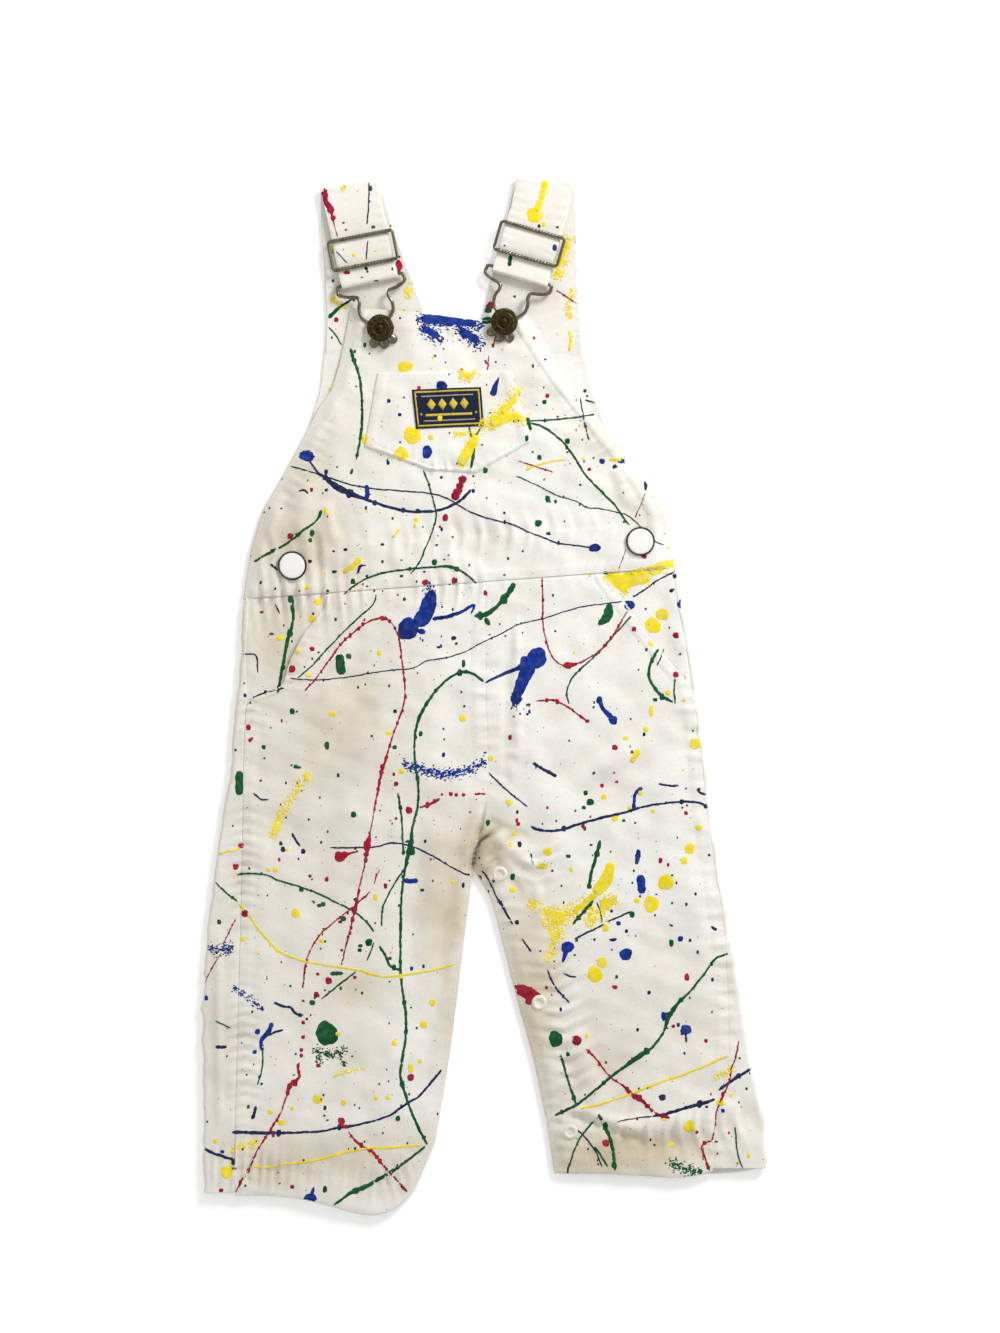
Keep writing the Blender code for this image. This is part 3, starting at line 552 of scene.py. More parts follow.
# The marks of each paint: a run or a dry brush's mark is a width, then places that may have a width of
# their own, and a drop is a place, a width and, where it isn't round, a height
Marks = namedtuple("Marks", "runs drops dry")
YELLOW_MARKS = Marks(
    runs=[
        (5, (33, 282), (31, 273, 4), (28, 265, 5)), (7, (-14, 126), (-9, 134, 8), (-5, 142, 6)),
        (7, (3, 148), (12, 152, 8), (20, 152, 5)), (4.5, (9, 154), (17, 163, 3)),
        (5, (-14, 177), (-8, 174)), (6, (67, 65), (74, 60), (77, 57)), (5, (80, 66), (92, 69), (102, 73)),
        (10, (68, 66, 5), (76, 62), (90, 66, 7)), (4, (-97, -44), (-99, -47)),
        (5, (-114, -70), (-117, -77, 3)), (5, (61, -109), (54, -115), (48, -119, 3)),
        (3, (46, 250), (43, 241), (39, 231)), (5, (-46, 132), (-51, 131, 2)),
        (4, (-78, 67), (-72, 71), (-68, 75)), (2.5, (-47, 91), (-49, 88), (-51, 86)),
        (1.8, (22, 123), (32, 127), (44, 129)), (3, (68, 128.5), (71, 129), (75, 128.5)),
        (2.5, (-147, -88), (-141, -86), (-135, -85)),
        (2.2, (-135, -115), (-130, -121), (-124, -129), (-118, -136), (-111, -142), (-100, -146),
         (-90, -148)),
        (2.2, (-90, -148), (-80, -149.5), (-70, -151), (-60, -154), (-50, -154.5), (-40, -153),
         (-28, -151), (-17, -148)),
        (2.5, (-35, -247), (-50, -248.5), (-65, -249), (-80, -252), (-95, -256), (-110, -257.5),
         (-120, -259.5), (-128, -259)),
        (6, (69, -92), (66, -102, 9), (60, -109, 8)), (4.5, (84, -30), (82, -34), (80, -37)),
        (2.4, (133, -198), (122, -203), (110, -208), (95, -213), (80, -219), (65, -224), (52, -227)),
        (3, (46, 200), (47, 195), (46, 189)),
    ],
    drops=[
        (27, 263, 10), (32, 258, 3.6), (-40, 142, 11), (-30, 141, 4), (-46, 132, 9),
        (-66, 140, 4, 7), (-44, 180, 10, 7), (92, 38, 10), (97, 44, 8), (91, 28, 4),
        (-38, 96, 3.6), (-98, 59, 4), (-92, 51, 5), (-95, 41.5, 5.6), (-113, 31, 6, 3.5),
        (-58, 23, 4), (-103, 24, 4), (-97, 10.5, 4, 3), (-108, 18, 3), (54, 129.5, 3, 2),
        (-84, -10.5, 5, 4), (-53, -21, 5, 3), (-104, -120, 6), (-133, -134, 4),
        (-90, -135, 3.6), (-12.5, -13, 5.2), (-46, -42, 4.4), (-119, -96, 3),
        (-115, -96, 4), (-18, -103, 3), (-29, -169, 4.6), (-34, -181, 5.2),
        (-50, -191, 4), (-81, -186, 4, 3), (-92, -222, 6.4), (-78, -224, 4),
        (-60, -221.5, 3.2), (-53.5, -221, 3.6), (-106, -227, 3), (-118, -229, 4),
        (-112, -235, 5, 4), (-142, -262, 8), (-148, -245, 3.6), (-41, -205, 4, 6),
        (-36, -201, 3.2), (66, -115, 8), (31, -94, 8, 4), (34, -86, 6), (15, -107, 5, 4),
        (16, -76, 4), (14, -82, 2.5, 4), (13, -59, 5, 4), (3, -35, 4), (99, -103, 10),
        (91, -115, 10), (83, -113, 4), (112, -84.5, 7), (109, -91, 5), (71, -68, 5, 4),
        (92, -64, 3), (117, -73, 5, 4), (60, -153.5, 10), (64, -147, 7), (66, -128, 5),
        (115, -27, 7, 8), (77, -24, 4, 3), (88, -19, 4), (91, -9, 3, 8), (100, 1, 4),
        (109, -3, 3), (65, -56, 4), (79, -62, 3), (85, -54, 4), (112, -237, 8),
        (129, -224, 6, 4), (98, -233, 4, 2), (102, -247, 4), (-78, 278, 4), (-84, 245, 4),
        (-72, 241, 3), (-84, 217, 4), (-77, 213, 3), (-43, 222, 5, 4),
    ],
    dry=[
        (9, (2, 146), (8, 155), (16, 163), (18, 168)), (9, (2, 152), (12, 152), (22, 150)),
        (8, (0, 150), (-5, 142), (-10, 133), (-14, 125)), (5, (-17, 143), (-11, 143), (-6, 144)),
        (6, (-14, 177), (-12, 172), (-8, 174), (-5, 177)), (9, (67, 66), (72, 61), (78, 56)),
        (8, (70, 65), (78, 66), (86, 66)), (7, (82, 65), (93, 68), (104, 72)),
        (7, (-97, -44), (-104, -52), (-112, -66), (-117, -78)), (3, (-67, -205), (-76, -207), (-84, -209)),
        (7, (-125, -245), (-131, -247), (-138, -249)), (15, (58, -116), (42, -121), (32, -126)),
        (9, (24, -114), (34, -119), (46, -122)), (12, (71, -111), (64, -119), (56, -126)),
        (8, (38, -130), (37, -138), (34, -146)), (10, (40, -124), (40, -130), (38, -135)),
        (6, (137, -205), (131, -208), (126, -210)), (9, (46, 252), (43, 240), (39, 229)),
        (6, (48, 222), (45, 214), (47, 207)), (6, (-42, 226), (-43, 218)), (5, (-82, 222), (-80, 212)),
    ],
)
BLUE_MARKS = Marks(
    runs=[
        (3.5, (-65, 115), (-65, 111), (-65, 107)),
        (6, (-29, 57), (-31, 50, 10.5), (-33, 44, 11), (-38, 38.5, 11)), (4, (-37, 35), (-33, 34)),
        (2.7, (-29, 41.5), (-20, 43), (-13, 45.5), (-6, 49.5, 2), (-8, 44.5, 1.2)),
        (1.5, (0, 6.5), (8, 10.5, 2.2), (18, 14.5, 3.5), (24, 18.5, 9)),
        (11, (25, 17), (20.5, 8, 9), (17.5, 0, 7), (16.5, -4, 5)),
        (4, (63, -3), (64, -7, 3), (69, -12.5, 4.5)), (2.5, (86, -51, 3.5), (82, -55), (81.5, -62)),
        (3.5, (84, -85), (83.5, -89), (83, -93)), (6, (85, -99), (85.5, -104), (86, -109)),
        (3.5, (45, -138.5), (43.5, -143), (42.5, -147, 1.5)),
        (3.5, (-45, -102), (-41, -102.4), (-37, -102)),
        (3.5, (-117, -180), (-119, -185, 4), (-123, -190, 3), (-123, -195, 2)),
        (3, (-96, -276), (-95, -273), (-94, -270, 1.6)), (3, (4, 164, 6), (5, 168, 4), (7.5, 174, 1)),
        (6.5, (-35, 206), (-22, 205.5), (-6, 204, 5)), (5.5, (-34, 201), (-30, 199), (-26, 196)),
        (6, (-14, 200), (-9, 197), (-4, 194)),
    ],
    drops=[
        (-98, 131, 9.5, 7.5), (60, 80.5, 7.5, 5.4), (-42.5, 36, 13.5), (28, 20, 13),
        (79, 49, 6.8), (108, 50, 7), (45, -138.5, 8), (77, -142.5, 8),
        (73, -125.5, 3.6), (107, -134, 4), (110, -184, 7), (98, -176.5, 4, 6),
        (-125, -185, 4), (-96, -276, 8, 6), (-32, 133, 6, 9), (-24, 169.5, 7, 6), (62.5, -3, 4.5, 5),
        (70, -14, 6), (64, 128, 4), (75, 128, 4), (38, 245, 3, 5),
    ],
    dry=[
        (11, (-37, 205), (-26, 205), (-12, 204), (-2, 202)), (9, (-35, 201), (-30, 197), (-24, 194)),
        (10, (-15, 201), (-9, 197), (-2, 191)), (7, (-30, 61), (-31, 54)),
        (7.5, (-45, -38), (-38, -40), (-25, -44), (-12, -42), (0, -37)),
        (4, (-36, -40.5), (-25, -43.5), (-14, -42)), (8, (-153, -139), (-146, -140), (-139, -139)),
        (4, (-138, -161), (-130, -166), (-122, -173)), (5, (17, -2), (15.5, -8)),
    ],
)
NAVY_MARKS = Marks(
    runs=[
        (1.6, (-97, 129), (-92, 122), (-88, 119, 2.5), (-80, 113, 5), (-68, 108, 2.8), (-55, 103.5, 2.2),
         (-42, 100.5, 2.2), (-28, 100.5, 2.2)),
        (1.9, (-139, -240, 3), (-120, -240.5, 2.6), (-100, -240), (-90, -239.5), (-80, -237.5),
         (-70, -236), (-60, -233.5)),
        (1.9, (-60, -233.5), (-52, -230.5), (-47, -227), (-42, -223.5), (-36, -220), (-30, -213),
         (-24, -206)),
        (1.2, (-107, 125.5), (-92, 121), (-75, 115.5), (-62, 113), (-50, 112), (-32, 110.5), (-22, 108),
         (-10, 101)),
        (1.3, (-10, 101), (0, 97), (14, 93.5), (24, 89), (32, 86), (40, 83), (52, 81.5), (60, 80.5)),
        (2.2, (-28, 100.5), (-20, 103), (-13, 107), (-8, 112.5)),
        (1, (-107, 9), (-95, 8), (-80, 9), (-70, 10.5), (-55, 13), (-40, 14.5), (-32, 18.5), (-20, 20.5),
         (-10, 24)),
        (1, (-10, 24), (0, 29.5), (10, 34), (18, 38.5), (31, 41.5), (45, 46), (55, 48.5), (75, 51)),
        (1.3, (81, 53.5), (88, 58), (95, 63), (104, 67.5)), (2.5, (26, -37.5), (32, -41), (39, -45, 2.8)),
        (1.8, (95, -49), (100, -49.8), (106, -50)), (1.8, (116, -52), (118, -54), (121, -55)),
        (2.2, (25, -72.5), (31, -74.5), (40, -74.5), (50, -71.5), (62, -68), (75, -65), (85, -62)),
        (1.8, (85, -62), (95, -60), (105, -59), (116, -59), (122, -62, 1.4)),
        (1.3, (2, -43), (10, -51), (16, -56), (23, -61.5)), (2.5, (68, -134), (70, -134.5), (72, -134)),
        (1.6, (49, -134), (57, -130), (65, -126)), (1.4, (67, -124.5), (73, -122), (80, -119)),
        (1.8, (101, -126), (103, -127)), (2.5, (124, -127), (125, -128), (127, -129)),
        (2, (110, -184), (110, -188), (110.5, -191)), (2.4, (146, -205), (138, -210), (128, -217)),
        (1.2, (126, -222, 2.4), (118, -224.5, 2.7), (105, -228, 2.7), (97, -230.5, 2), (85, -232, 1),
         (72, -234, 0.8)),
        (1.3, (45, -236), (53, -241), (60, -250), (64, -259)), (1.5, (25, -87), (25.6, -90), (26, -93)),
        (1.4, (-2, -96.5), (1, -100.5), (3.5, -105), (6, -111), (10, -117, 2.2), (12, -121, 1.7),
         (15, -126)),
        (1.5, (20, -134), (23, -138), (25, -141)), (1.5, (34, -151), (38, -160), (46, -169)),
        (1.5, (43, -153), (46, -154.5), (50, -155)),
        (1.3, (-85, -84), (-72, -84), (-60, -83.5), (-52, -81.5), (-45, -82), (-36, -85), (-28, -89),
         (-20, -94)),
        (1.3, (-20, -94), (-15, -96.5), (-12, -98.3), (-8.4, -99.2)),
        (2, (-106, -76), (-104, -80), (-102, -83)), (1.5, (-127, -54), (-123, -57.5), (-119, -57.5)),
        (2.2, (-116, -169), (-111, -171), (-107, -171.5), (-104, -175), (-100, -176)),
        (2, (-111, -184), (-115, -185), (-119, -187)), (2.5, (-148, -193), (-145, -193.5), (-142, -193)),
        (2.2, (-155, -249), (-148, -252), (-138, -255.5)), (2.5, (-126, -226), (-127, -230), (-128, -233)),
        (1.1, (-64, 281), (-64, 270), (-65, 258)), (1.0, (-64.5, 249), (-65, 243), (-65.3, 238.5)),
        (1.0, (-81.8, 243), (-78.5, 239.5), (-75.6, 236.8)),
        (1.4, (-128.6, -2), (-119.5, 1.5), (-110.4, 3.5)), (1.2, (-133, 22), (-126, 21.4), (-125, 12)),
        (1.1, (-115.5, 49.5), (-114, 47), (-113, 44.5)), (1.9, (-118, 71.5), (-116, 70), (-114, 68.3)),
        (1.6, (-102.5, 111.5), (-99.5, 112), (-97, 110.2)),
        (2.2, (-70, 66.5), (-68.5, 70.5), (-65.5, 71, 1.4)),
    ],
    drops=[
        (-98, -178, 2.4), (104, 65, 3.6), (102, 57, 3), (88, 47, 2), (97, -221, 4.6),
        (-53, 161, 3), (-47, 153.5, 2.8), (71, 125, 3.2), (88, 115, 2.5, 7),
        (4.5, -102, 2.4, 3.6), (17.5, -64.4, 2, 3), (-5, -57.5, 1.8), (-12.2, -104.7, 2.1, 3.9),
        (-3.4, -89.6, 1.8, 2.3), (36.7, -96.7, 2, 2.3), (1.8, -108, 1.5, 2.4), (-76.8, 79.5, 3, 2.4),
        (-56.5, 82.3, 2.8, 2.2), (-56.5, 72.9, 2.4, 2.6), (-46, 65, 3, 2), (-26.9, 82, 2.6, 2),
        (-17.4, 31, 3.8, 2.8), (-25.7, 26, 3.2, 1.9), (-65.7, 49.8, 1.8), (-61, 56.8, 1.8, 2.2),
        (-69.9, 3.9, 1.8, 2.4), (-103.5, -9.4, 2, 1.8), (-13.2, 1.4, 2),
    ],
    dry=[],
)
GREEN_MARKS = Marks(
    runs=[
        (2.2, (-74, 190), (-72, 183, 2.5), (-69, 174), (-68, 165, 2), (-67.5, 155), (-68, 146), (-69, 138),
         (-71, 129, 1.2)),
        (2.2, (-73, 124), (-73.5, 122), (-74, 121)), (1.2, (-86, 202), (-82, 197), (-79, 192)),
        (2.6, (-86, 207, 3.6), (-80, 213), (-72, 218, 1.4)),
        (1.3, (-34, 123), (-31, 115), (-29, 108), (-27, 98), (-29, 90), (-33, 80), (-36, 73), (-41, 66)),
        (2, (-127, 73), (-118, 78), (-108, 83.5), (-100, 90), (-93, 95, 1.5), (-90, 101, 3.5)),
        (1.6, (-78, 55), (-70, 61), (-62, 65), (-52, 67.5), (-40, 69), (-28, 70), (-19, 70, 2.8),
         (-12, 67), (-5, 61)),
        (2.4, (-107, 53, 4), (-105.5, 42), (-109, 28, 3), (-112, 12), (-114, 1)),
        (1.3, (-60, 55), (-62, 49), (-72, 40), (-85, 27), (-95, 16), (-103, 9)),
        (6.5, (-80, 22), (-79.5, 16), (-79, 11)),
        (2, (-1, 7), (-6, 11), (-12, 12.5, 2.8), (-20, 9), (-28, 1), (-34, -8, 3), (-38, -18), (-39, -30)),
        (2, (-39, -30), (-38.5, -38), (-37, -48), (-37, -60), (-40, -73), (-41, -82, 4), (-44, -95),
         (-46, -110, 2.2)),
        (2.1, (-46, -110), (-46.5, -125), (-46.5, -152), (-45, -165, 2), (-43.5, -178), (-44, -190),
         (-46, -202)),
        (2.2, (-46, -202), (-46.5, -210, 2.4), (-43, -222), (-38, -235), (-32, -247, 2)),
        (3, (-33, -248, 2), (-42, -255, 2), (-52, -262), (-62, -268), (-68, -271, 4), (-75, -274, 2.5),
         (-83, -280, 2)),
        (3, (-12, 15), (-12, 17), (-12, 19)), (4, (16, 61), (12, 55), (6, 48, 3), (0, 44), (-6, 43, 2.5)),
        (4, (0, 42), (1, 40), (2, 38)),
        (1.4, (80, 43), (70, 32), (60, 21), (50, 12), (46, 6), (44.5, 0), (46, -5)),
        (4, (68, 50), (67, 43, 7), (62, 38.5, 3)),
        (2.5, (95, 25), (91, 18), (89.5, 11, 2.6), (92, 5), (97, -1), (103, -4, 1.6)),
        (1.3, (104, -5), (103.5, 4), (104, 9)), (1.2, (98, 25), (96, 20), (94, 16)),
        (1.4, (24, 150), (40, 151), (52, 152.5), (61, 154)), (3, (23, 152), (24, 148), (25, 145)),
        (1.7, (25, 149), (33, 146), (42, 139), (49, 130), (53, 123), (58, 117), (66, 109), (71, 104),
         (75, 98), (79, 93)),
        (1, (17, 120), (28, 115), (40, 109), (50, 106), (56, 102.5), (63, 102), (72, 100), (80, 97),
         (92, 85), (98, 82)),
        (1.2, (52, 163), (54, 152), (55, 146), (57, 139.5)), (1.5, (55, 162), (58, 161), (60, 160)),
        (1.5, (-9, 147), (-7, 141), (-2, 147)), (1.5, (-6, 135), (-7, 129, 2.5), (-8, 124)),
        (3, (63, -80), (61, -88), (58, -98, 2.5), (57, -106, 2)),
        (3, (59, -113, 4), (54, -119), (48, -126, 2)), (1.3, (61, -114), (63, -119), (64, -125)),
        (2.5, (59, -42.5), (60, -43.5)),
        (1.8, (133, -142), (126, -145), (120, -153), (113, -162), (107, -168, 2.5), (101, -176, 3.5),
         (98, -185, 2)),
        (2.2, (98, -185), (92, -193), (85, -198, 4), (78, -203, 3), (70, -209, 2.4), (60, -217),
         (50, -225), (38, -231)),
        (2, (41, -197), (44, -207), (47, -217), (50, -225, 1.6)),
        (3, (62, -230, 2), (67, -240), (70, -250), (71, -261, 2)),
        (1.5, (62, -232), (52, -243), (46, -258), (45, -264)), (1.8, (60, -248), (64, -254), (67, -259)),
        (1.2, (137, -237), (138, -250), (141, -260)), (5.5, (-135, -42), (-135, -49), (-135, -55)),
        (2.4, (-105, -39, 5), (-103, -40), (-101, -40, 1.6)),
        (1.5, (-136, -99), (-130, -98), (-120, -99), (-113, -102), (-100, -106), (-90, -110), (-80, -115)),
        (1.5, (-80, -115), (-72, -119), (-66, -124), (-61, -130)),
        (2, (-58, -138), (-55, -143), (-52, -149), (-46, -151)), (1.6, (-48, -54), (-46, -68), (-45, -88)),
        (1.4, (-42, -92), (-50, -104), (-56, -116), (-57, -127)),
        (1.2, (-61, -136), (-63, -141), (-65, -146)), (1.4, (-71, -152), (-80, -159), (-90, -167)),
        (3, (-85, -153), (-81, -153), (-78, -153)), (1.4, (-148, -103), (-142, -109), (-136, -113.5)),
        (1.2, (-148, -179), (-144, -181), (-140, -183)), (1.3, (-122, -192), (-122.5, -205), (-125, -214)),
        (3, (14, 241), (13.5, 238), (13, 235)),
    ],
    drops=[
        (-75, 21, 4), (45, 139, 3.8), (29, 94, 4.8), (52, 115, 2.2), (55, -54, 3.6),
        (57.5, -59, 5), (54, -62, 3), (38.5, -189, 9, 10), (-87, -186, 14, 15), (-64, -136, 5),
        (-101, -107, 3.6), (-89, -115, 3.6), (-78, -123, 4), (-95, -169, 4),
        (-41, -86, 6), (-107, 53, 4), (1, 205.5, 7.5, 5), (1, 212, 6.5, 5.5), (-61.5, 256.5, 3, 2.5),
        (1.4, -70.3, 3, 4.4), (14.9, -100, 3.3, 4.8), (-117.4, 33.3, 3.6, 1.8), (-64.7, 232, 2.2),
        (-51, 233.3, 2, 2.6), (-59.8, 226.8, 3.4, 1.4), (-67.7, 228.8, 2.2, 1.4),
    ],
    dry=[
        (8, (100, -256), (109, -260), (118, -262)), (6, (-94, -195), (-85, -198), (-76, -194)),
        (4, (-92, -198), (-91, -203)), (4, (-80, -198), (-77, -203)),
    ],
)
RED_MARKS = Marks(
    runs=[
        (4, (-89, 279), (-88, 272, 3.5), (-85, 266, 4), (-83, 258, 1.2), (-81, 251, 1)),
        (5, (-12, 120), (-14, 114, 3.6), (-17.5, 107, 6.5)), (1.8, (6, 197), (5, 194), (4, 191)),
        (1.4, (2, 186), (1.5, 182), (1, 178)),
        (1.8, (-99, 2), (-92, 10), (-85, 20), (-78, 29), (-70, 36), (-63, 40.5, 1.6), (-56, 42, 3),
         (-51, 39)),
        (1.8, (-51, 39), (-48, 33, 1.6), (-46.5, 25), (-45, 12), (-44, 2), (-45.5, -8), (-50, -20),
         (-53, -30)),
        (1.8, (-53, -30), (-57, -43, 3), (-60, -58), (-63, -75, 1.6), (-64.5, -82, 4), (-66, -92),
         (-69, -105)),
        (1.8, (-69, -105), (-71, -116, 3), (-73, -124, 2.2), (-76, -136), (-79, -148, 1.4)),
        (1.3, (-58, -96), (-60, -100), (-61, -104)),
        (1.6, (-63, -108), (-72, -116), (-82, -124), (-90, -131), (-96, -140), (-99, -150), (-100, -161)),
        (2.4, (-80, -89, 5), (-74, -87), (-70, -86, 1.6)),
        (2.5, (0, -54.5), (-3, -54.5), (-6, -54.5, 1.6)), (2.5, (-25, -57), (-30, -60), (-36, -62)),
        (3, (-92, -163), (-93, -165), (-94, -167, 2)),
        (2.4, (-102, -202), (-103, -205), (-102, -210, 3), (-107, -214, 4), (-109, -220, 2),
         (-112, -229, 1.5)),
        (2, (-112, -229), (-118, -239), (-122, -245), (-126, -252), (-130, -261), (-134, -267),
         (-137, -273)),
        (2.5, (-75, -240), (-72, -244, 3), (-67, -248), (-62, -251), (-57, -257, 3), (-53, -262, 1.6),
         (-47, -268, 2), (-43, -273, 3)),
        (1.4, (-145, -142), (-150, -150), (-154, -158)), (1.2, (-137, -123), (-142, -133), (-144, -137)),
        (3, (-129, -95), (-130, -95.5)),
        (1.6, (31, 64), (31.5, 52), (31.5, 40), (33, 31), (36, 22), (41, 16.5), (46, 16, 4), (53, 18),
         (60, 22)),
        (1.7, (60, 22), (66, 27), (71, 34), (75, 41), (78, 46, 1.5)),
        (2, (28, -3.5), (36, -3), (42, -5), (47, -8, 2), (52, -12), (57, -15, 2.5)),
        (2.5, (71, -48), (73, -48)), (8, (16, -160, 3), (22, -163), (27, -166), (22, -169, 4)),
        (3, (102, -182), (104, -182)),
        (2, (55, -194), (60, -199), (66, -207), (70, -211), (76, -215), (80, -219, 3.5), (86, -223, 3.5),
         (90, -227, 2.5)),
        (2.4, (90, -227), (94, -230), (101, -232, 3)),
        (1.6, (139, -190), (137, -200), (135, -205), (134, -212), (131, -219, 2), (127, -228), (126, -237),
         (124, -245)),
        (2, (124, -245), (119, -247, 2.5), (120, -253), (123, -261)),
        (1.6, (39, 222), (44, 219), (50, 215)), (4, (-47.8, 239), (-47.6, 232)),
        (1, (88, 111), (86, 106), (82, 97)), (1, (77, 80), (75, 74), (73, 68)),
        (1.2, (18, 128), (25, 126), (31, 124), (37, 122)),
    ],
    drops=[
        (-107, 87, 4.4), (-33, 61.5, 4.4), (-17, 62.5, 4.4), (-22, 97, 4, 5),
        (-25, 92, 2.4), (3, 214, 5), (-80, -89, 7), (-12, -55, 2.8), (-16, -55, 2.8),
        (-19, -54.5, 3.2), (-42, -63.5, 4.8), (-49, -68, 2.6), (-49, -49, 3.6),
        (-86, -157, 4.8), (-100, -168, 2.4), (-100, -180, 3), (-100, -188, 3),
        (-101, -195, 3), (-101, -198, 3), (-79, -234, 5), (-77, -237, 6, 3),
        (-41, -210, 4.8), (-106, -270, 3.2), (-145, -272, 3.4), (-132, -120, 5),
        (-134, -83, 4), (-137, -94.5, 4.4), (-130, -18, 4), (-129, -25, 3),
        (-95, 25, 3.6), (-106, 14, 4.8), (19, -10.5, 2), (21, -8, 1.8),
        (24, -5.5, 2.4), (81.5, 36, 3.6), (104.5, 32.5, 4.4), (104.5, 11, 4.4),
        (86, 2, 1.8), (13.5, -23.5, 2.5, 4), (71, -29, 4), (64, -50, 3), (18, -71, 3),
        (34, -62, 2.4), (110, -65, 3), (108, -62, 2), (96, -91, 3, 4), (71, -160.5, 4, 3),
        (121, -190, 3), (50, -189.5, 6.6), (66, -246, 5), (116, -240, 3, 2), (87, 76, 4),
        (34, 164, 3.2), (57, 123.5, 2.8), (-82, 206, 3.6), (-76, 231.5, 5, 2.5),
        (17.2, -69, 2.2, 3.6), (-111.8, -14.3, 1.6, 3), (-128, -24, 2.4, 2.2),
    ],
    dry=[],
)
FRONT_MARKS = {
    "yellow": YELLOW_MARKS,
    "blue": BLUE_MARKS,
    "navy": NAVY_MARKS,
    "green": GREEN_MARKS,
    "red": RED_MARKS,
}
BACK_MARKS = {
    "yellow": Marks(
        runs=[
            (2.2, (120, -40), (96, -52), (70, -58), (44, -70)), (4, (-60, 130), (-52, 124), (-40, 122)),
            (2.4, (-130, -210), (-104, -196), (-76, -190), (-50, -176)),
        ],
        drops=[(-90, 60, 8), (40, 20, 6, 7), (-30, -60, 9, 8), (90, -170, 8), (-120, -110, 6)],
        dry=[(8, (-100, 20), (-88, 8), (-80, -8))],
    ),
    "blue": Marks(
        runs=[(2.4, (40, -140), (66, -152), (92, -148), (124, -166))],
        drops=[(-60, 20, 9, 8), (60, 60, 6), (-100, -150, 7, 8), (110, -230, 7, 6)],
        dry=[(7, (20, 30), (34, 20), (52, 16))],
    ),
    "navy": Marks(
        runs=[
            (1.6, (-120, 70), (-90, 92), (-52, 98), (-14, 88), (20, 96), (60, 112)),
            (2, (-140, -60), (-110, -82), (-84, -90), (-50, -84), (-22, -96)),
        ],
        drops=[(24, -60, 4), (-112, -236, 4, 5)],
        dry=[],
    ),
    "green": Marks(
        runs=[
            (2, (-30, 160), (-34, 120), (-30, 80), (-40, 40), (-36, 0), (-48, -50)),
            (2.2, (130, -120), (110, -150), (96, -190), (70, -230)),
            (1.8, (-140, -160), (-118, -184), (-100, -220), (-90, -262)),
        ],
        drops=[(30, 130, 6), (-84, -40, 8, 9), (76, -90, 6, 7)],
        dry=[],
    ),
    "red": Marks(
        runs=[
            (2, (60, 40), (52, 10), (60, -24), (84, -50), (100, -90)),
            (1.8, (-110, -20), (-96, -60), (-98, -104), (-84, -140)),
        ],
        drops=[(-20, 60, 5), (90, 10, 5, 4), (-60, -200, 6)],
        dry=[],
    ),
}
# The cloth that stitches and paint lie on
CLOTH_PIECES = [
    f"{piece}_cloth"
    for piece in (
        *("back_bib", "back_leg_right", "back_leg_left", "hip_pocket_right", "hip_pocket_left"),
        *("front_leg_right", "front_leg_left", "bib", "bib_pocket", "label", "strap_right", "strap_left"),
    )
]


def linear(hex_colour):
    """An sRGB hex colour as linear red, green and blue."""
    values = [int(hex_colour[start : start + 2], 16) / 255 for start in (1, 3, 5)]
    return [v / 12.92 if v <= 0.04045 else ((v + 0.055) / 1.055) ** 2.4 for v in values]


def colour_property(name, description, hex_colour):
    """A colour that a user can set, from its sRGB hex value."""
    return FloatVectorProperty(
        name=name, description=description, subtype="COLOR", size=3, min=0, max=1, default=linear(hex_colour)
    )


def length_property(name, description, millimetres):
    """A length that a user can set."""
    return FloatProperty(name=name, description=description, unit="LENGTH", default=millimetres * MM)


class ClothSettings(bpy.types.PropertyGroup):
    """Sizes and colours of the cotton."""

    clean: colour_property("Clean Cotton", "The cotton where it is cleanest", "#F2F1EB")
    # The worn tone, which also stands for painted shade in the hollows and in shaded zones
    soiled: colour_property("Worn Cotton", "The cotton where wear has yellowed it", "#D0C3A8")
    # The colour of the shade painted into the deepest creases
    creased: colour_property("Creased Cotton", "The dirt in the cotton's deepest creases", "#40352A")
    wall: length_property("Cloth", "Thickness of one layer of the drill", 0.9)
    pitch: length_property("Mesh Pitch", "Spacing of the shells' points", 1.6)
    back_pitch: length_property("Back Mesh Pitch", "Spacing of the points on the flat back", 3.0)
    twill: length_property("Twill Spacing", "Spacing of the twill's lines", 0.9)
    relief: FloatProperty(name="Relief", description="Height of all folds and puckers", default=1.3)


class StitchSettings(bpy.types.PropertyGroup):
    """Sizes and colour of the stitching."""

    thread: colour_property("Thread", "The cotton thread", "#F4F1E8")
    length: length_property("Stitch", "Length of one stitch", 2.1)
    step: length_property("Stitch Step", "From the start of one stitch to the next", 2.8)
    width: length_property("Thread Width", "Width of the thread", 0.42)


class MetalSettings(bpy.types.PropertyGroup):
    """Sizes and colours of the hardware."""

    nickel: colour_property("Nickel", "The buckles' worn nickel plate", "#857E6C")
    brass: colour_property("Antique Brass", "The bib buttons' darkened brass", "#4C412A")
    rim: colour_property("Rim", "The side buttons' dark rim", "#4A443A")
    enamel: colour_property("Enamel", "The side buttons' white enamel", "#F6F5F1")
    snap: colour_property("Snap", "The snaps' cream enamel", "#E8E3D6")
    wire: length_property("Wire Radius", "Half of the buckle wire's thickness", 0.95)


class PaintSettings(bpy.types.PropertyGroup):
    """The paints and their thickness."""

    blue: colour_property("Blue", "Ultramarine craft paint", "#06308F")
    navy: colour_property("Navy", "The blue paint where it dried dark, in thin lines", "#1A2450")
    green: colour_property("Green", "Deep green craft paint", "#01552C")
    red: colour_property("Red", "Crimson craft paint", "#A61030")
    yellow: colour_property("Yellow", "Lemon yellow craft paint", "#F1DB09")
    thickness: length_property("Thickness", "How high the dried paint stands", 0.16)
    specks: IntProperty(name="Specks", description="Number of small drops on the front", default=1350)
    seed: IntProperty(name="Seed", description="Which scatter of small drops is made", default=7)


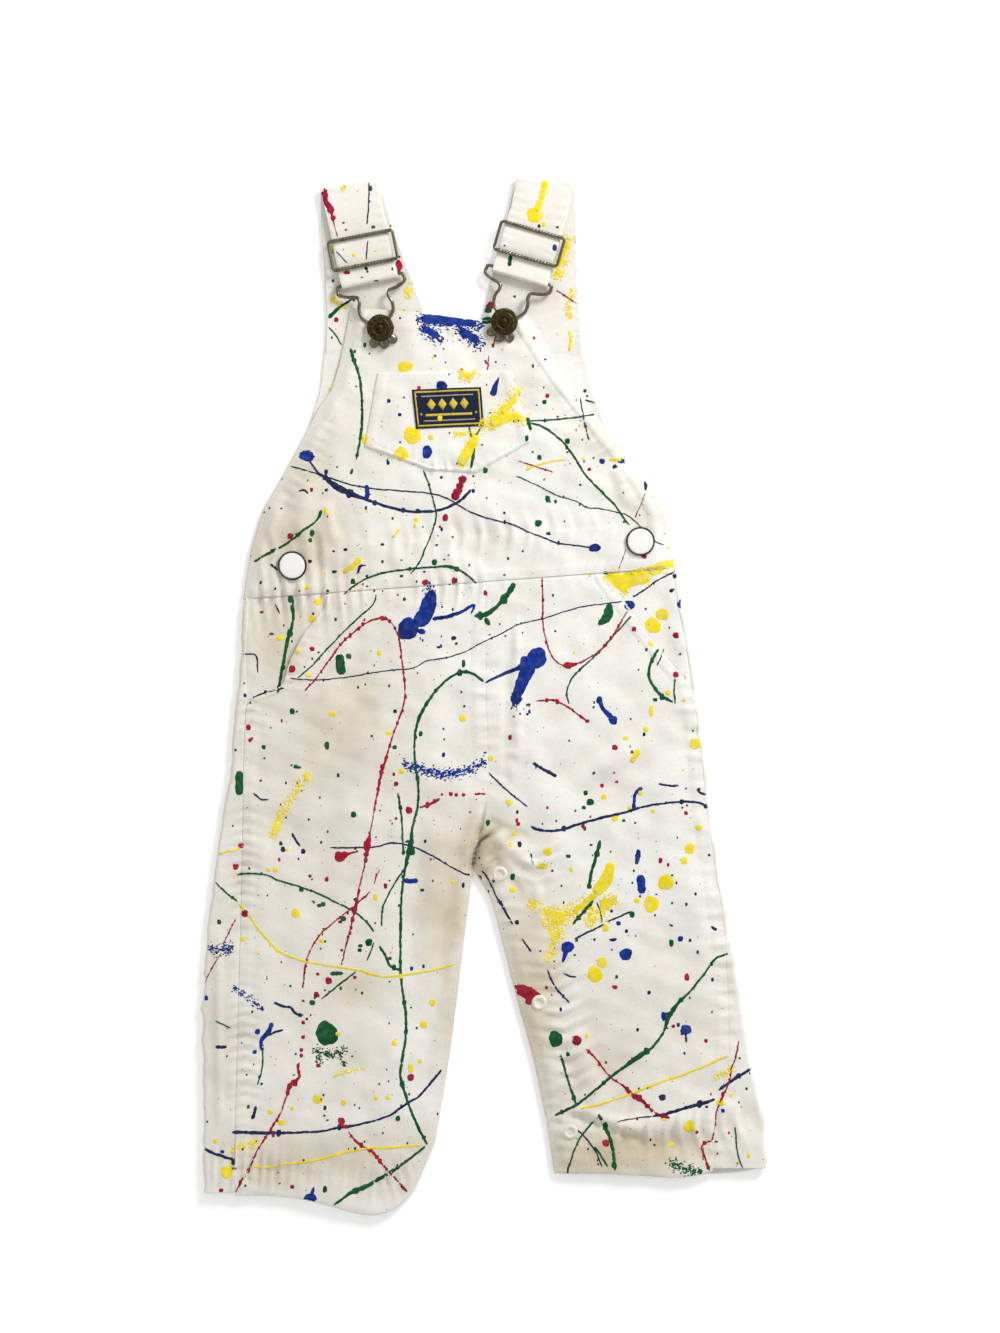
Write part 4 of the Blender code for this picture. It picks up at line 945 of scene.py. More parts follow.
class LabelSettings(bpy.types.PropertyGroup):
    """Colours of the woven label."""

    ground: colour_property("Ground", "The label's navy ground", "#0F1836")
    figure: colour_property("Figure", "The label's yellow threads", "#D9C23C")
    pale: colour_property("Pale Figure", "The label's pale threads", "#A9A992")


class StageSettings(bpy.types.PropertyGroup):
    """The camera, the lights and the surface."""

    floor: colour_property("Surface", "The card that the garment lies on", "#FBFBFA")
    height: length_property("Camera Height", "Camera above the surface", 1600)
    view: length_property("View Height", "Height of the camera's view", 733.2)
    view_x: length_property("View X", "Where the camera looks, across", 8.8)
    view_y: length_property("View Y", "Where the camera looks, along", 15.85)
    sky: FloatProperty(name="Sky", description="Strength of the light from all round", default=0.57)
    key: FloatProperty(name="Key", description="Power of the soft lamp", unit="POWER", default=17.0)
    fill: FloatProperty(name="Fill", description="Power of the lamp opposite", unit="POWER", default=3.0)


GROUPS = {
    "cloth": ClothSettings,
    "stitch": StitchSettings,
    "metal": MetalSettings,
    "paint": PaintSettings,
    "label": LabelSettings,
    "stage": StageSettings,
}


class OverallsSettings(bpy.types.PropertyGroup):
    """All that a user would change."""


def settings(group):
    """One group of the scene's settings."""
    return getattr(bpy.context.scene.overalls, group)


# Materials

COLOUR_MIX = {"output": 2, "data_type": "RGBA"}  # a mix node's third output is its colour
DIAGONAL_REPEAT = 0.444  # a wave texture's scale times the spacing of its lines, by their direction
UPRIGHT_REPEAT = 0.314


def set_inputs(tree, node, inputs):
    """Sets a node's inputs, or links them where they are sockets. A colour has three numbers."""
    for key, value in inputs.items():
        target = node.inputs[key]
        if isinstance(value, bpy.types.NodeSocket):
            tree.links.new(value, target)
        else:
            target.default_value = (*value, 1) if target.type == "RGBA" else value


def add_node(tree, kind, inputs, output=0, **values):
    """Adds a node with its settings and links, and gives one of its outputs."""
    made = tree.nodes.new(f"ShaderNode{kind}")
    for key, value in values.items():
        setattr(made, key, value)
    set_inputs(tree, made, inputs)
    return made.outputs[output]


def new_material(name, inputs):
    """A material of one Principled shader with plain inputs, its tree, shader and place on the object."""
    made = bpy.data.materials.new(name)
    made.use_nodes = True
    tree = made.node_tree
    shader = tree.nodes["Principled BSDF"]
    set_inputs(tree, shader, inputs)
    return made, tree, shader, add_node(tree, "TexCoord", {}, "Object")


def grain(place, spacing, detail):
    """Inputs of a noise texture whose blotches are about this many millimetres apart."""
    return {"Vector": place, "Scale": 1 / (spacing * MM), "Detail": detail, "Roughness": 0.55}


def lined(place, spacing, distortion, repeat):
    """Inputs of a wave texture whose soft lines are this many millimetres apart."""
    return {"Vector": place, "Scale": repeat / (spacing * MM), "Distortion": distortion, "Detail": 1.0}


def stretched(value, low, high, to_low=0.0, to_high=1.0):
    """Inputs of a map range that stretches a value's range to another."""
    return {"Value": value, "From Min": low, "From Max": high, "To Min": to_low, "To Max": to_high}


def blended(factor, first, second):
    """Inputs of a colour mix, which have numbers because other kinds of mix share their names."""
    return {0: factor, 6: first, 7: second}


def raised(height, distance, strength=1.0):
    """Inputs of a bump whose height stands this many millimetres high."""
    return {"Height": height, "Distance": distance * MM, "Strength": strength}


def patches(tree, place, spacing, *ranges, detail=2.0):
    """Soft patches about this many millimetres apart: a noise with its range stretched."""
    blotches = add_node(tree, "TexNoise", grain(place, spacing, detail))
    return add_node(tree, "MapRange", stretched(blotches, *ranges))


def bumps(tree, place, spacing, distance, strength=1.0, detail=2.0, **under):
    """Soft bumps about this many millimetres apart, over another bump where there is one."""
    blotches = add_node(tree, "TexNoise", grain(place, spacing, detail))
    return add_node(tree, "Bump", {**raised(blotches, distance, strength), **under})


def cotton_drill(name):
    """Bleached cotton drill, woven in a 3/1 twill and washed many times: matt, with faint diagonal
    lines, a little fuzz that catches light at its edges, and yellow where it is most worn. Shade is painted
    into it too: in the same yellow in its hollows and in broad shaded zones, and dark in its deepest
    creases."""
    cloth = settings("cloth")
    matt = {"Roughness": 0.92, "Sheen Weight": 0.12, "Sheen Roughness": 0.5, "Specular IOR Level": 0.25}
    made, tree, shader, place = new_material(name, matt)
    soil = add_node(tree, "Attribute", {}, "Fac", attribute_name="soil")
    grime = add_node(tree, "Attribute", {}, "Fac", attribute_name="grime")
    blotches = patches(tree, place, 60, 0.3, 0.7, -0.08, 0.1)
    # Wear and painted shade from the attribute, varied at random by the blotches
    worn = add_node(tree, "Math", {0: soil, 1: blotches}, operation="ADD", use_clamp=True)
    colour = add_node(tree, "Mix", blended(worn, cloth.clean, cloth.soiled), **COLOUR_MIX)
    # Painted shade, dark in the deepest creases
    colour = add_node(tree, "Mix", blended(grime, colour, cloth.creased), **COLOUR_MIX)
    slub = patches(tree, place, 2.2, 0.35, 0.65, 0.965, 1.01)
    grey = add_node(tree, "CombineColor", {0: slub, 1: slub, 2: slub})
    colour = add_node(tree, "Mix", blended(1.0, colour, grey), **COLOUR_MIX, blend_type="MULTIPLY")
    # The real twill's lines are 0.5 mm apart, and are drawn wider so that they show
    lines = lined(place, cloth.twill / MM, 1.2, DIAGONAL_REPEAT)
    lines = add_node(tree, "TexWave", lines, "Fac", bands_direction="DIAGONAL")
    weave = add_node(tree, "Bump", raised(lines, 0.06, 0.5))
    uneven = bumps(tree, place, 9, 0.12, 0.5, Normal=weave)
    set_inputs(tree, shader, {"Base Color": colour, "Normal": uneven})
    return made


def cotton_thread(name):
    """Twisted cotton thread: matt and a little whiter than the cloth."""
    made, tree, shader, place = new_material(name, {"Roughness": 0.8, "Specular IOR Level": 0.3})
    shade = patches(tree, place, 9, 0.3, 0.7, 0.0, 0.5)
    colours = blended(shade, settings("stitch").thread, settings("cloth").soiled)
    colour = add_node(tree, "Mix", colours, **COLOUR_MIX)
    twist = bumps(tree, place, 0.5, 0.05, detail=1.0)
    set_inputs(tree, shader, {"Base Color": colour, "Normal": twist})
    return made


def woven_label(name, colour_name):
    """Rayon threads in a fine damask weave: soft shine along close ribs."""
    soft = {"Roughness": 0.62, "Sheen Weight": 0.03, "Specular IOR Level": 0.25}
    made, tree, shader, place = new_material(name, soft)
    # The real ribs are 0.2 mm apart, and are drawn wider so that they show
    ribs = lined(place, 0.6, 0.6, UPRIGHT_REPEAT)
    ribs = add_node(tree, "TexWave", ribs, "Fac", bands_direction="Y")
    shade = add_node(tree, "MapRange", stretched(ribs, 0, 1, 0.75, 1.1))
    grey = add_node(tree, "CombineColor", {0: shade, 1: shade, 2: shade})
    colours = blended(1.0, getattr(settings("label"), colour_name), grey)
    colour = add_node(tree, "Mix", colours, **COLOUR_MIX, blend_type="MULTIPLY")
    weave = add_node(tree, "Bump", raised(ribs, 0.05))
    set_inputs(tree, shader, {"Base Color": colour, "Normal": weave})
    return made


def plated_metal(name, colour_name, roughness, dark):
    """Plate over pressed metal or wire, dulled by wear: darker tarnish in patches and fine scratches."""
    made, tree, shader, place = new_material(name, {"Metallic": 1.0})
    plate = getattr(settings("metal"), colour_name)
    tarnish = patches(tree, place, 2.2, 0.38, 0.66, detail=4.0)
    colours = blended(tarnish, plate, [channel * dark for channel in plate])
    colour = add_node(tree, "Mix", colours, **COLOUR_MIX)
    dull = add_node(tree, "MapRange", stretched(tarnish, 0, 1, roughness, roughness + 0.22))
    scratches = bumps(tree, place, 0.7, 0.03)
    set_inputs(tree, shader, {"Base Color": colour, "Roughness": dull, "Normal": scratches})
    return made


def baked_enamel(name, colour_name, roughness):
    """Enamel baked on pressed steel: smooth and satin, slightly uneven, yellower in patches."""
    satin = {"Roughness": roughness, "Specular IOR Level": 0.4}
    made, tree, shader, place = new_material(name, satin)
    enamel = getattr(settings("metal"), colour_name)
    yellowed = [channel * share for channel, share in zip(enamel, (0.9, 0.88, 0.82))]
    shade = patches(tree, place, 5, 0.35, 0.7, 0.0, 0.35)
    colour = add_node(tree, "Mix", blended(shade, enamel, yellowed), **COLOUR_MIX)
    uneven = bumps(tree, place, 3, 0.05, detail=1.0)
    set_inputs(tree, shader, {"Base Color": colour, "Normal": uneven})
    return made


def dried_paint(name, colour_name, deep_share, sheer_share):
    """Acrylic craft paint dried on cotton: satin, deep where it lies thick, and thin enough in places
    for the cloth to show."""
    made, tree, shader, place = new_material(name, {"Roughness": 0.6, "Specular IOR Level": 0.12})
    colour = getattr(settings("paint"), colour_name)
    deep = [0.4 * channel for channel in colour]
    sheer = [0.3 * paint + 0.7 * cotton for paint, cotton in zip(colour, settings("cloth").clean)]
    thick = patches(tree, place, 18, 0.46, 0.6, 0.0, deep_share)
    colour = add_node(tree, "Mix", blended(thick, colour, deep), **COLOUR_MIX)
    thin = patches(tree, place, 2.6, 0.44, 0.74, 0.0, sheer_share, detail=3.0)
    colour = add_node(tree, "Mix", blended(thin, colour, sheer), **COLOUR_MIX)
    brushed = bumps(tree, place, 1.4, 0.12, 0.6, detail=3.0)
    set_inputs(tree, shader, {"Base Color": colour, "Normal": brushed})
    return made


def smooth_card(name):
    """Matt white card: even, with a faint tooth. It glows a little where it is seen, so that it is white
    there, and not on what lies on it."""
    made, tree, shader, place = new_material(name, {"Roughness": 0.95, "Specular IOR Level": 0.1})
    floor = settings("stage").floor
    tooth = patches(tree, place, 40, 0.3, 0.7, 0.0, 0.06)
    colours = blended(tooth, floor, [channel * 0.96 for channel in floor])
    colour = add_node(tree, "Mix", colours, **COLOUR_MIX)
    by_eye = add_node(tree, "LightPath", {}, "Is Camera Ray")
    by_gloss = add_node(tree, "LightPath", {}, "Is Glossy Ray")
    seen = add_node(tree, "Math", {0: by_eye, 1: by_gloss}, operation="MAXIMUM")
    glow = add_node(tree, "Math", {0: seen, 1: FLOOR_GLOW}, operation="MULTIPLY")
    white = (1, 1, 1)
    set_inputs(tree, shader, {"Base Color": colour, "Emission Color": white, "Emission Strength": glow})
    return made


# Each material's maker, and what the maker is told after the name
MATERIALS = {
    "cotton drill": (cotton_drill,),
    "cotton thread": (cotton_thread,),
    "navy damask": (woven_label, "ground"),
    "yellow damask": (woven_label, "figure"),
    "pale damask": (woven_label, "pale"),
    "worn nickel": (plated_metal, "nickel", 0.24, 0.5),
    "antique brass": (plated_metal, "brass", 0.38, 0.35),
    "blackened nickel": (plated_metal, "rim", 0.4, 0.5),
    "white enamel": (baked_enamel, "enamel", 0.32),
    "cream enamel": (baked_enamel, "snap", 0.5),
    "dried blue acrylic": (dried_paint, "blue", 0.7, 0.06),
    "dried navy acrylic": (dried_paint, "navy", 0.28, 0.06),
    "dried green acrylic": (dried_paint, "green", 0.49, 0.06),
    "dried red acrylic": (dried_paint, "red", 0.42, 0.06),
    "dried yellow acrylic": (dried_paint, "yellow", 0.14, 0.34),
    "smooth card": (smooth_card,),
}
made_materials = {}


def material(name):
    """The named material, made once."""
    if name not in made_materials:
        maker, *told = MATERIALS[name]
        made_materials[name] = maker(name, *told)
    return made_materials[name]


# Relief of the front


def smooth(share):
    """0 below 0, 1 above 1, and a soft step between, for numbers or arrays."""
    share = np.clip(share, 0.0, 1.0)
    return share * share * (3 - 2 * share)


def fold_relief(x, y):
    """The soft folds' height at each place."""
    height = np.zeros_like(x)
    for fold in FOLDS:
        long = math.dist((fold.x0, fold.y0), (fold.x1, fold.y1))
        along_x, along_y = (fold.x1 - fold.x0) / long, (fold.y1 - fold.y0) / long
        along = ((x - fold.x0) * along_x + (y - fold.y0) * along_y) / long
        across = np.abs((x - fold.x0) * along_y - (y - fold.y0) * along_x)
        ends = smooth(along / FOLD_TAPER) * smooth((1 - along) / FOLD_TAPER)
        height += fold.height * ends * (1 - smooth(across / fold.half_width))
    return height


def near_line(x, y, points):
    """The distance to a line of points, and how far along it the nearest place is."""
    best = np.full_like(x, math.inf)
    spot = np.zeros_like(x)
    start = 0.0
    for (ax, ay), (bx, by) in zip(points, points[1:]):
        long = math.dist((ax, ay), (bx, by))
        ux, uy = (bx - ax) / long, (by - ay) / long
        along = np.clip((x - ax) * ux + (y - ay) * uy, 0, long)
        away = np.hypot(x - ax - along * ux, y - ay - along * uy)
        nearer = away < best
        best = np.where(nearer, away, best)
        spot = np.where(nearer, start + along, spot)
        start += long
    return best, spot, start


def pucker_relief(x, y):
    """The height of the puckers that cross the seams."""
    height = np.zeros_like(x)
    for number, seam in enumerate(SEAMS.values()):
        away, spot, long = near_line(x, y, seam.points)
        turn = SEAM_TURN * number
        spot = spot + PUCKER_SLANT * away * math.sin(turn)
        # Their spacing and height vary along the seam, and a second, closer wave breaks up the first
        phase = math.tau * spot / seam.pitch + 1.3 * np.sin(spot / (1.9 * seam.pitch) + turn)
        wave = 1 - 2 * np.abs(np.sin(phase / 2)) + 0.35 * np.sin(1.63 * phase + turn)
        loud = 0.6 + 0.4 * np.sin(spot / (2.7 * seam.pitch) + 2 * turn)
        ends = smooth(spot / seam.reach + 0.4) * smooth((long - spot) / seam.reach + 0.4)
        fade = np.exp(-((away / seam.reach) ** 2))
        height += seam.ripple * wave * loud * ends * fade
    return height


def slub_relief(x, y, heights=SLUBS):
    """The cloth's own unevenness, as sums of random waves."""
    rng = np.random.default_rng(SLUB_SEED)
    height = np.zeros_like(x)
    for high, spacing in heights:
        for _ in range(FLOW):
            turn, phase = rng.uniform(0, math.tau, 2)
            pace = math.tau / (spacing * rng.uniform(0.7, 1.5))
            wave = np.sin((x * math.cos(turn) + y * math.sin(turn)) * pace + phase)
            height += high * math.sqrt(2 / FLOW) * wave
    return height


def relief(x, y):
    """How far the front's top face stands above its plain height."""
    high = fold_relief(x, y) + pucker_relief(x, y) + slub_relief(x, y)
    return settings("cloth").relief * np.clip(high, LEAST_RELIEF, MOST_RELIEF)


def grime_at(x, y):
    """How dark the painted shade in the deepest creases is, from 0 to 1. It is darkest where a crease
    starts.
    """
    dark = np.zeros_like(x)
    # Each crease's painted shade, strongest near its line
    for crease in SHADED_CREASES:
        away, spot, long = near_line(x, y, crease.points)
        share = spot / long
        ends = smooth(0.4 + 3 * share) * smooth(0.1 + 2.5 * (1 - share))
        dark = np.maximum(dark, crease.amount * ends * np.exp(-((away / crease.half_width) ** 2)))
    return dark


def soil_at(x, y, height):
    """How yellowed the cotton is, from 0 to 1, with shade painted in the same tone: in zones that hold both
    wear and painted shade, and more in its hollows, as painted shade.
    """
    worn = np.zeros_like(x)
    for soil in SOIL_AND_SHADE_ZONES:
        away = ((x - soil.x) / soil.across) ** 2 + ((y - soil.y) / soil.along) ** 2
        worn = np.maximum(worn, soil.amount * np.exp(-away))
    # The hollows get painted shade in the worn tone
    hollows = np.clip(-height, 0, 1)
    return np.clip(SOIL_EVERYWHERE + SOIL_AND_SHADE_IN_ZONES * worn + SHADE_IN_HOLLOWS * hollows, 0, 1)


# Shells


def bow_drop(bow, across):
    """How far a bowed edge hangs down at that share of the way across it."""
    return bow * np.sin(math.pi * np.clip(across, 0, 1) ** BOW_LEAN)


def softened(line, width):
    """A line of evenly spaced numbers with its corners rounded and its ends kept."""
    if width < 1:
        return line
    reach = int(3 * width)
    weights = np.exp(-0.5 * (np.arange(-reach, reach + 1) / width) ** 2)
    before = 2 * line[0] - line[reach:0:-1]
    after = 2 * line[-1] - line[-2 : -reach - 2 : -1]
    return np.convolve(np.concatenate([before, line, after]), weights / weights.sum(), "valid")


def rim_places(long, pitch):
    """Places from 0 to long at that pitch, with closer ones at both rims."""
    inner = RIM_STEPS[-1]
    count = max(2, round((long - 2 * inner) / pitch))
    middle = np.linspace(inner, long - inner, count + 1)
    return np.concatenate([RIM_STEPS[:-1], middle, [long - step for step in reversed(RIM_STEPS[:-1])]])


class Outline:
    """A piece's two side edges with their corners rounded, and the rows across it."""

    def __init__(self, sections, soft=3.0):
        ends = np.array([section[1:6] for section in sections], float)
        left_steps = np.hypot(*np.diff(ends[:, 0:2], axis=0).T)
        right_steps = np.hypot(*np.diff(ends[:, 2:4], axis=0).T)
        spots = np.concatenate([[0], np.cumsum((left_steps + right_steps) / 2)])
        self.long = spots[-1]
        self.fine = np.linspace(0, self.long, max(8, round(self.long)) + 1)
        width = soft * (len(self.fine) - 1) / self.long
        self.columns = [softened(np.interp(self.fine, spots, column), width) for column in ends.T[:4]]
        self.columns.append(np.interp(self.fine, spots, ends[:, 4]))
        self.spots = spots
        self.wide = float(np.hypot(ends[:, 2] - ends[:, 0], ends[:, 3] - ends[:, 1]).max())

    def at(self, across, along):
        """Places from shares across and lengths along, and the length of each one's row."""
        left_x, left_y, right_x, right_y, bow = (np.interp(along, self.fine, c) for c in self.columns)
        x = left_x + (right_x - left_x) * across
        y = left_y + (right_y - left_y) * across
        return x, y - bow_drop(bow, across), np.hypot(right_x - left_x, right_y - left_y)

    def laid(self, pitch):
        """Rows of places at that pitch, and their distances to the piece's sides."""
        along = rim_places(self.long, pitch)[:, None]
        across = (rim_places(self.wide, pitch) / self.wide)[None, :]
        along, across = np.broadcast_arrays(along, across)
        x, y, row = self.at(across, along)
        sides = {"left": across * row, "right": (1 - across) * row, "low": along, "high": self.long - along}
        return x, y, sides


def add_piece(name, data, material_name):
    """A new object of the garment that rides on its body."""
    made = bpy.data.objects.new(name, data)
    bpy.context.scene.collection.objects.link(made)
    data.materials.append(material(material_name))
    if isinstance(data, bpy.types.Mesh):
        data.polygons.foreach_set("use_smooth", [True] * len(data.polygons))
    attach(made, BODY)
    return made


def thicken(made, wall):
    """Gives a piece a wall under its face."""
    ply = made.modifiers.new("wall", "SOLIDIFY")
    ply.thickness = wall
    ply.offset = -1


def cloth_sheet(name, points, height, wall, flipped=False):
    """A closed wall of cotton under rows of points, with its wear and painted shade kept at each point."""
    rows, columns = points.shape[:2]
    mesh = bpy.data.meshes.new(name)
    sheet = bmesh.new()
    bmesh.ops.create_grid(sheet, x_segments=columns - 1, y_segments=rows - 1, size=0.5)
    sheet.to_mesh(mesh)
    sheet.free()
    spots = np.empty(len(mesh.vertices) * 3, np.float32)
    mesh.vertices.foreach_get("co", spots)
    spots = spots.reshape(-1, 3)
    column = np.rint((spots[:, 0] + 0.5) * (columns - 1)).astype(int)
    row = np.rint((spots[:, 1] + 0.5) * (rows - 1)).astype(int)
    placed = points[row, column]
    moved = (placed - (MIDDLE_X, MIDDLE_Y, 0)) * MM
    mesh.vertices.foreach_set("co", moved.astype(np.float32).ravel())
    if flipped:
        mesh.flip_normals()
    mesh.update()
    x, y = placed[:, 0], placed[:, 1]
    for kept, values in (("soil", soil_at(x, y, height(x, y))), ("grime", grime_at(x, y))):
        mesh.attributes.new(kept, "FLOAT", "POINT").data.foreach_set("value", values.astype(np.float32))
    made = add_piece(name, mesh, "cotton drill")
    thicken(made, wall)
    return made


def declare(nodes):
    """Hides the packed solids that a cloth piece stands for."""
    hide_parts(*nodes)


def sewn_relief(piece, outline, sides):
    """How a piece's rows of stitching sink, and how its turned edges stand up, from the distances to
    its sides."""
    high = 0.0
    for row in ROWS:
        if row.piece != piece:
            continue
        away = sides[row.edge]
        inside = 1.0
        if row.edge in ("left", "right"):
            along = sides["low"] / outline.long
            inside = smooth((along - row.start) * ROW_ENDS + 0.5)
            inside = inside * smooth((row.end - along) * ROW_ENDS + 0.5)
        turned_edge = FELL * (1 - smooth((away - row.insets[-1]) / FELL_STEP + 0.5))
        for inset in row.insets:
            turned_edge = turned_edge - GROOVE * np.exp(-(((away - inset) / GROOVE_WIDTH) ** 2))
        high = high + turned_edge * inside
    return high


def panel(
    name,
    sections,
    top,
    nodes,
    closed=(),
    height=relief,
    soft=3.0,
    roll=ROLL,
    piece="",
    tuck=None,
    meets=None,
):
    """A cloth shell on a piece's form. Closed names the sides that come down to the back, tuck tells
    how far each place goes under its neighbour, and meets is a side that comes up to the front."""
    cloth = settings("cloth")
    outline = Outline(sections, soft)
    x, y, sides = outline.laid(cloth.pitch / MM)
    z = top + height(x, y) + sewn_relief(piece, outline, sides)
    if closed:
        near = np.minimum.reduce([sides[side] for side in closed])
        near = near + EDGE_FALL * smooth((y - CROTCH_Y) / CROTCH_RISE) * ("leg" in name)
        z = SIDE_TOP + (z - SIDE_TOP) * smooth(near / EDGE_FALL)
    if meets:
        rise = FRONT_TOP - MEET_BELOW - top + relief(x, y) - height(x, y)
        near = 1 - smooth((sides[meets] - MEET_FLAT) / MEET_WIDTH)
        near = near * smooth((y - MEET_FOOT_Y) / MEET_WIDTH)
        z = z + rise * np.maximum(near, smooth((y - waist_y(x)) / WAIST_REACH + 1))
    rim = np.minimum.reduce(list(sides.values()))
    z = z - roll * (1 - smooth(rim / ROLL_WIDTH))
    if tuck:
        z = z - TUCK * smooth(tuck(x, y))
    made = cloth_sheet(name, np.stack([x, y, z], axis=-1), height, cloth.wall)
    declare(nodes)
    return made


def waist_y(x):
    """The waist seam's place along the garment."""
    return WAIST_Y + WAIST_SLOPE * x


def waist_tuck(x, y):
    """How far a leg goes under the bib: 1 where it is fully under it."""
    return (y - waist_y(x) + WAIST_LAP) / TUCK_STEP


def left_leg_tuck(x, y):
    """How far the left leg goes under the bib and, above the crotch, under the right leg."""
    legs = LEGS["right"][::-1]
    seam_x = np.interp(y, [leg.inner_y for leg in legs], [leg.inner_x for leg in legs])
    under_right = (seam_x + CENTRE_GAP - x) / TUCK_STEP * smooth((y - CROTCH_Y) / CROTCH_LAP)
    return np.maximum(waist_tuck(x, y), under_right)


def pocket_bag_relief(x, y):
    """The hip pockets' own unevenness, under the front."""
    return np.clip(0.5 * pucker_relief(x, y) + 0.5 * slub_relief(x, y), *BAG_RELIEF)


def back_relief(x, y):
    """How far the back's underside lifts off the surface: its seams' puckers and a few creases."""
    high = 0.5 * pucker_relief(x, y) + 0.35 * fold_relief(x, y) + slub_relief(x, y, BACK_SLUBS)
    return np.clip(high, *BACK_RELIEF)


def underside(x, y, rim, share=1.0):
    """The height of the back's lowest face: uneven away from its rim, and rolled up a little at it."""
    uneven = back_relief(x, y) * smooth(rim / BACK_EASE) * share
    return SAG + uneven + BACK_ROLL * (1 - smooth(rim / ROLL_WIDTH))


def back_bib():
    """The back bib, which lies flat under the front."""
    cloth = settings("cloth")
    outline = Outline(BACK_BIB)
    x, y, sides = outline.laid(cloth.back_pitch / MM)
    z = underside(x, y, np.minimum.reduce(list(sides.values())))
    made = cloth_sheet("back_bib_cloth", np.stack([x, y, z], axis=-1), back_relief, cloth.wall, flipped=True)
    declare(["back_bib"])


def back_leg_sections(side):
    """The back leg's sections from the hem up, each from its inner end to its outer end."""
    sections = []
    for number, leg in enumerate(LEGS[side][::-1]):
        bow = 0 if number else HEM_BOW[side]
        sections.append(Section(leg.name, leg.inner_x, leg.inner_y, leg.outer_x, leg.outer_y, bow))
    return sections


def back_leg(side):
    """The back of a leg: flat on the surface, then turned over its outer edge on to the front."""
    cloth = settings("cloth")
    inward = 1 if side == "right" else -1
    outline = Outline(back_leg_sections(side))
    along = rim_places(outline.long, cloth.pitch / MM)
    inner_x, inner_y, outer_x, outer_y, bow = (np.interp(along, outline.fine, c) for c in outline.columns)
    turns = softened(np.interp(outline.fine, outline.spots, [leg.turn for leg in LEGS[side][::-1]]), 3.0)
    turn = np.interp(along, outline.fine, turns)
    radius = (FRONT_TOP - SAG) / 2
    fold_x = outer_x + inward * (radius + np.abs(slub_relief(outer_x, outer_y, EDGE_WAVER)))
    ends = np.minimum(along, outline.long - along)
    columns = []
    for share in rim_places(outline.wide, cloth.back_pitch / MM) / outline.wide:
        from_left = share if side == "left" else 1 - share
        x = inner_x + (fold_x - inner_x) * share
        y = inner_y + (outer_y - inner_y) * share - bow_drop(bow, from_left)
        rim = np.minimum(share * outline.wide, ends)
        columns.append((x, y, underside(x, y, rim, 1 - smooth((share - 0.9) / 0.1))))
    for angle in np.linspace(0, math.pi, TURN_POINTS)[1:]:
        x = fold_x - inward * radius * math.sin(angle)
        rise = TURNED_RELIEF * smooth((angle - math.pi / 2) / (math.pi / 2)) * relief(fold_x, outer_y)
        columns.append((x, outer_y, SAG + radius * (1 - math.cos(angle)) + rise))
    edge_x = outer_x + inward * turn
    end_x = edge_x + inward * TUCK_WIDTH
    for share in np.linspace(0, 1, TURNED_POINTS)[1:]:
        x = fold_x + (end_x - fold_x) * share
        rise = (TURNED_RELIEF + (1 - TURNED_RELIEF) * smooth(share * 2)) * relief(x, outer_y)
        under = smooth(((x - edge_x) * inward + TUCK_STEP / 2) / TUCK_STEP)
        columns.append((x, outer_y, FRONT_TOP + rise - TUCK * under))
    points = np.stack([np.stack(column, axis=-1) for column in columns], axis=1)
    flipped = side == "left"
    made = cloth_sheet(f"back_leg_{side}_cloth", points, relief, cloth.wall, flipped)
    declare([f"back_leg_{side}"])


def front_leg_sections(side):
    """The front leg's sections from the hem up to the waist seam."""
    inward = 1 if side == "right" else -1
    centre = -CENTRE_GAP * inward
    under = 0 if side == "right" else -TUCK_WIDTH
    rows = [((x, y), (centre + under, seam_y)) for x, y, seam_y in POCKET_EDGE[side]]
    top_edge, top_seam = rows[0]
    rows.insert(0, ((top_edge[0], top_edge[1] + TUCK_WIDTH), (top_seam[0], top_seam[1] + TUCK_WIDTH)))
    for leg in LEGS[side][2:]:
        edge = (leg.outer_x + inward * leg.turn, leg.outer_y)
        above_crotch = leg.name in ("hip", "thigh", "above crotch", "crotch")
        rows.append((edge, (leg.inner_x + under * above_crotch, leg.inner_y)))
    (edge_x, edge_y), (inner_x, inner_y) = rows[-1]
    rows[-1] = ((edge_x, edge_y - HEM_DROP), (inner_x, inner_y - HEM_DROP))
    sections = []
    for number, (edge, inner) in enumerate(rows):
        left, right = (edge, inner) if side == "right" else (inner, edge)
        bow = HEM_BOW[side] if number == len(rows) - 1 else 0
        sections.append(Section(str(number), *left, *right, bow))
    return sections[::-1]


def front_leg(side):
    """The front of a leg, to the inseam, in one piece. The left one has the placket's strip on it."""
    panel(
        f"front_leg_{side}_cloth",
        front_leg_sections(side),
        FRONT_TOP,
        [f"front_leg_{side}"] + ["inseam_placket"] * (side == "left"),
        closed=(side,),
        piece=f"front leg {side}",
        tuck=waist_tuck if side == "right" else left_leg_tuck,
    )


def sewn_sections(piece):
    """The sections of a piece that stitching follows, each from its left end to its right end."""
    side = piece.split()[-1]
    if piece.startswith("front leg"):
        return front_leg_sections(side)
    if piece.startswith("back leg"):
        legs = back_leg_sections(side)
        turned_round = [Section(leg.name, *leg[3:5], *leg[1:3], leg.bow) for leg in legs]
        return turned_round if side == "right" else legs
    return {"bib": BIB, "bib pocket": BIB_POCKET, "back bib": BACK_BIB}[piece]


def across_station(station, along, z, half=STRAP_HALF_WIDTH):
    """The strap's two edges at a distance along its own direction from a station, and its height."""
    tilt = math.radians(station.tilt)
    over = Vector((math.cos(tilt), math.sin(tilt)))
    up = Vector((-math.sin(tilt), math.cos(tilt)))
    centre = Vector((station.x, station.y)) + up * along
    return (*(centre - over * half), *(centre + over * half), z)


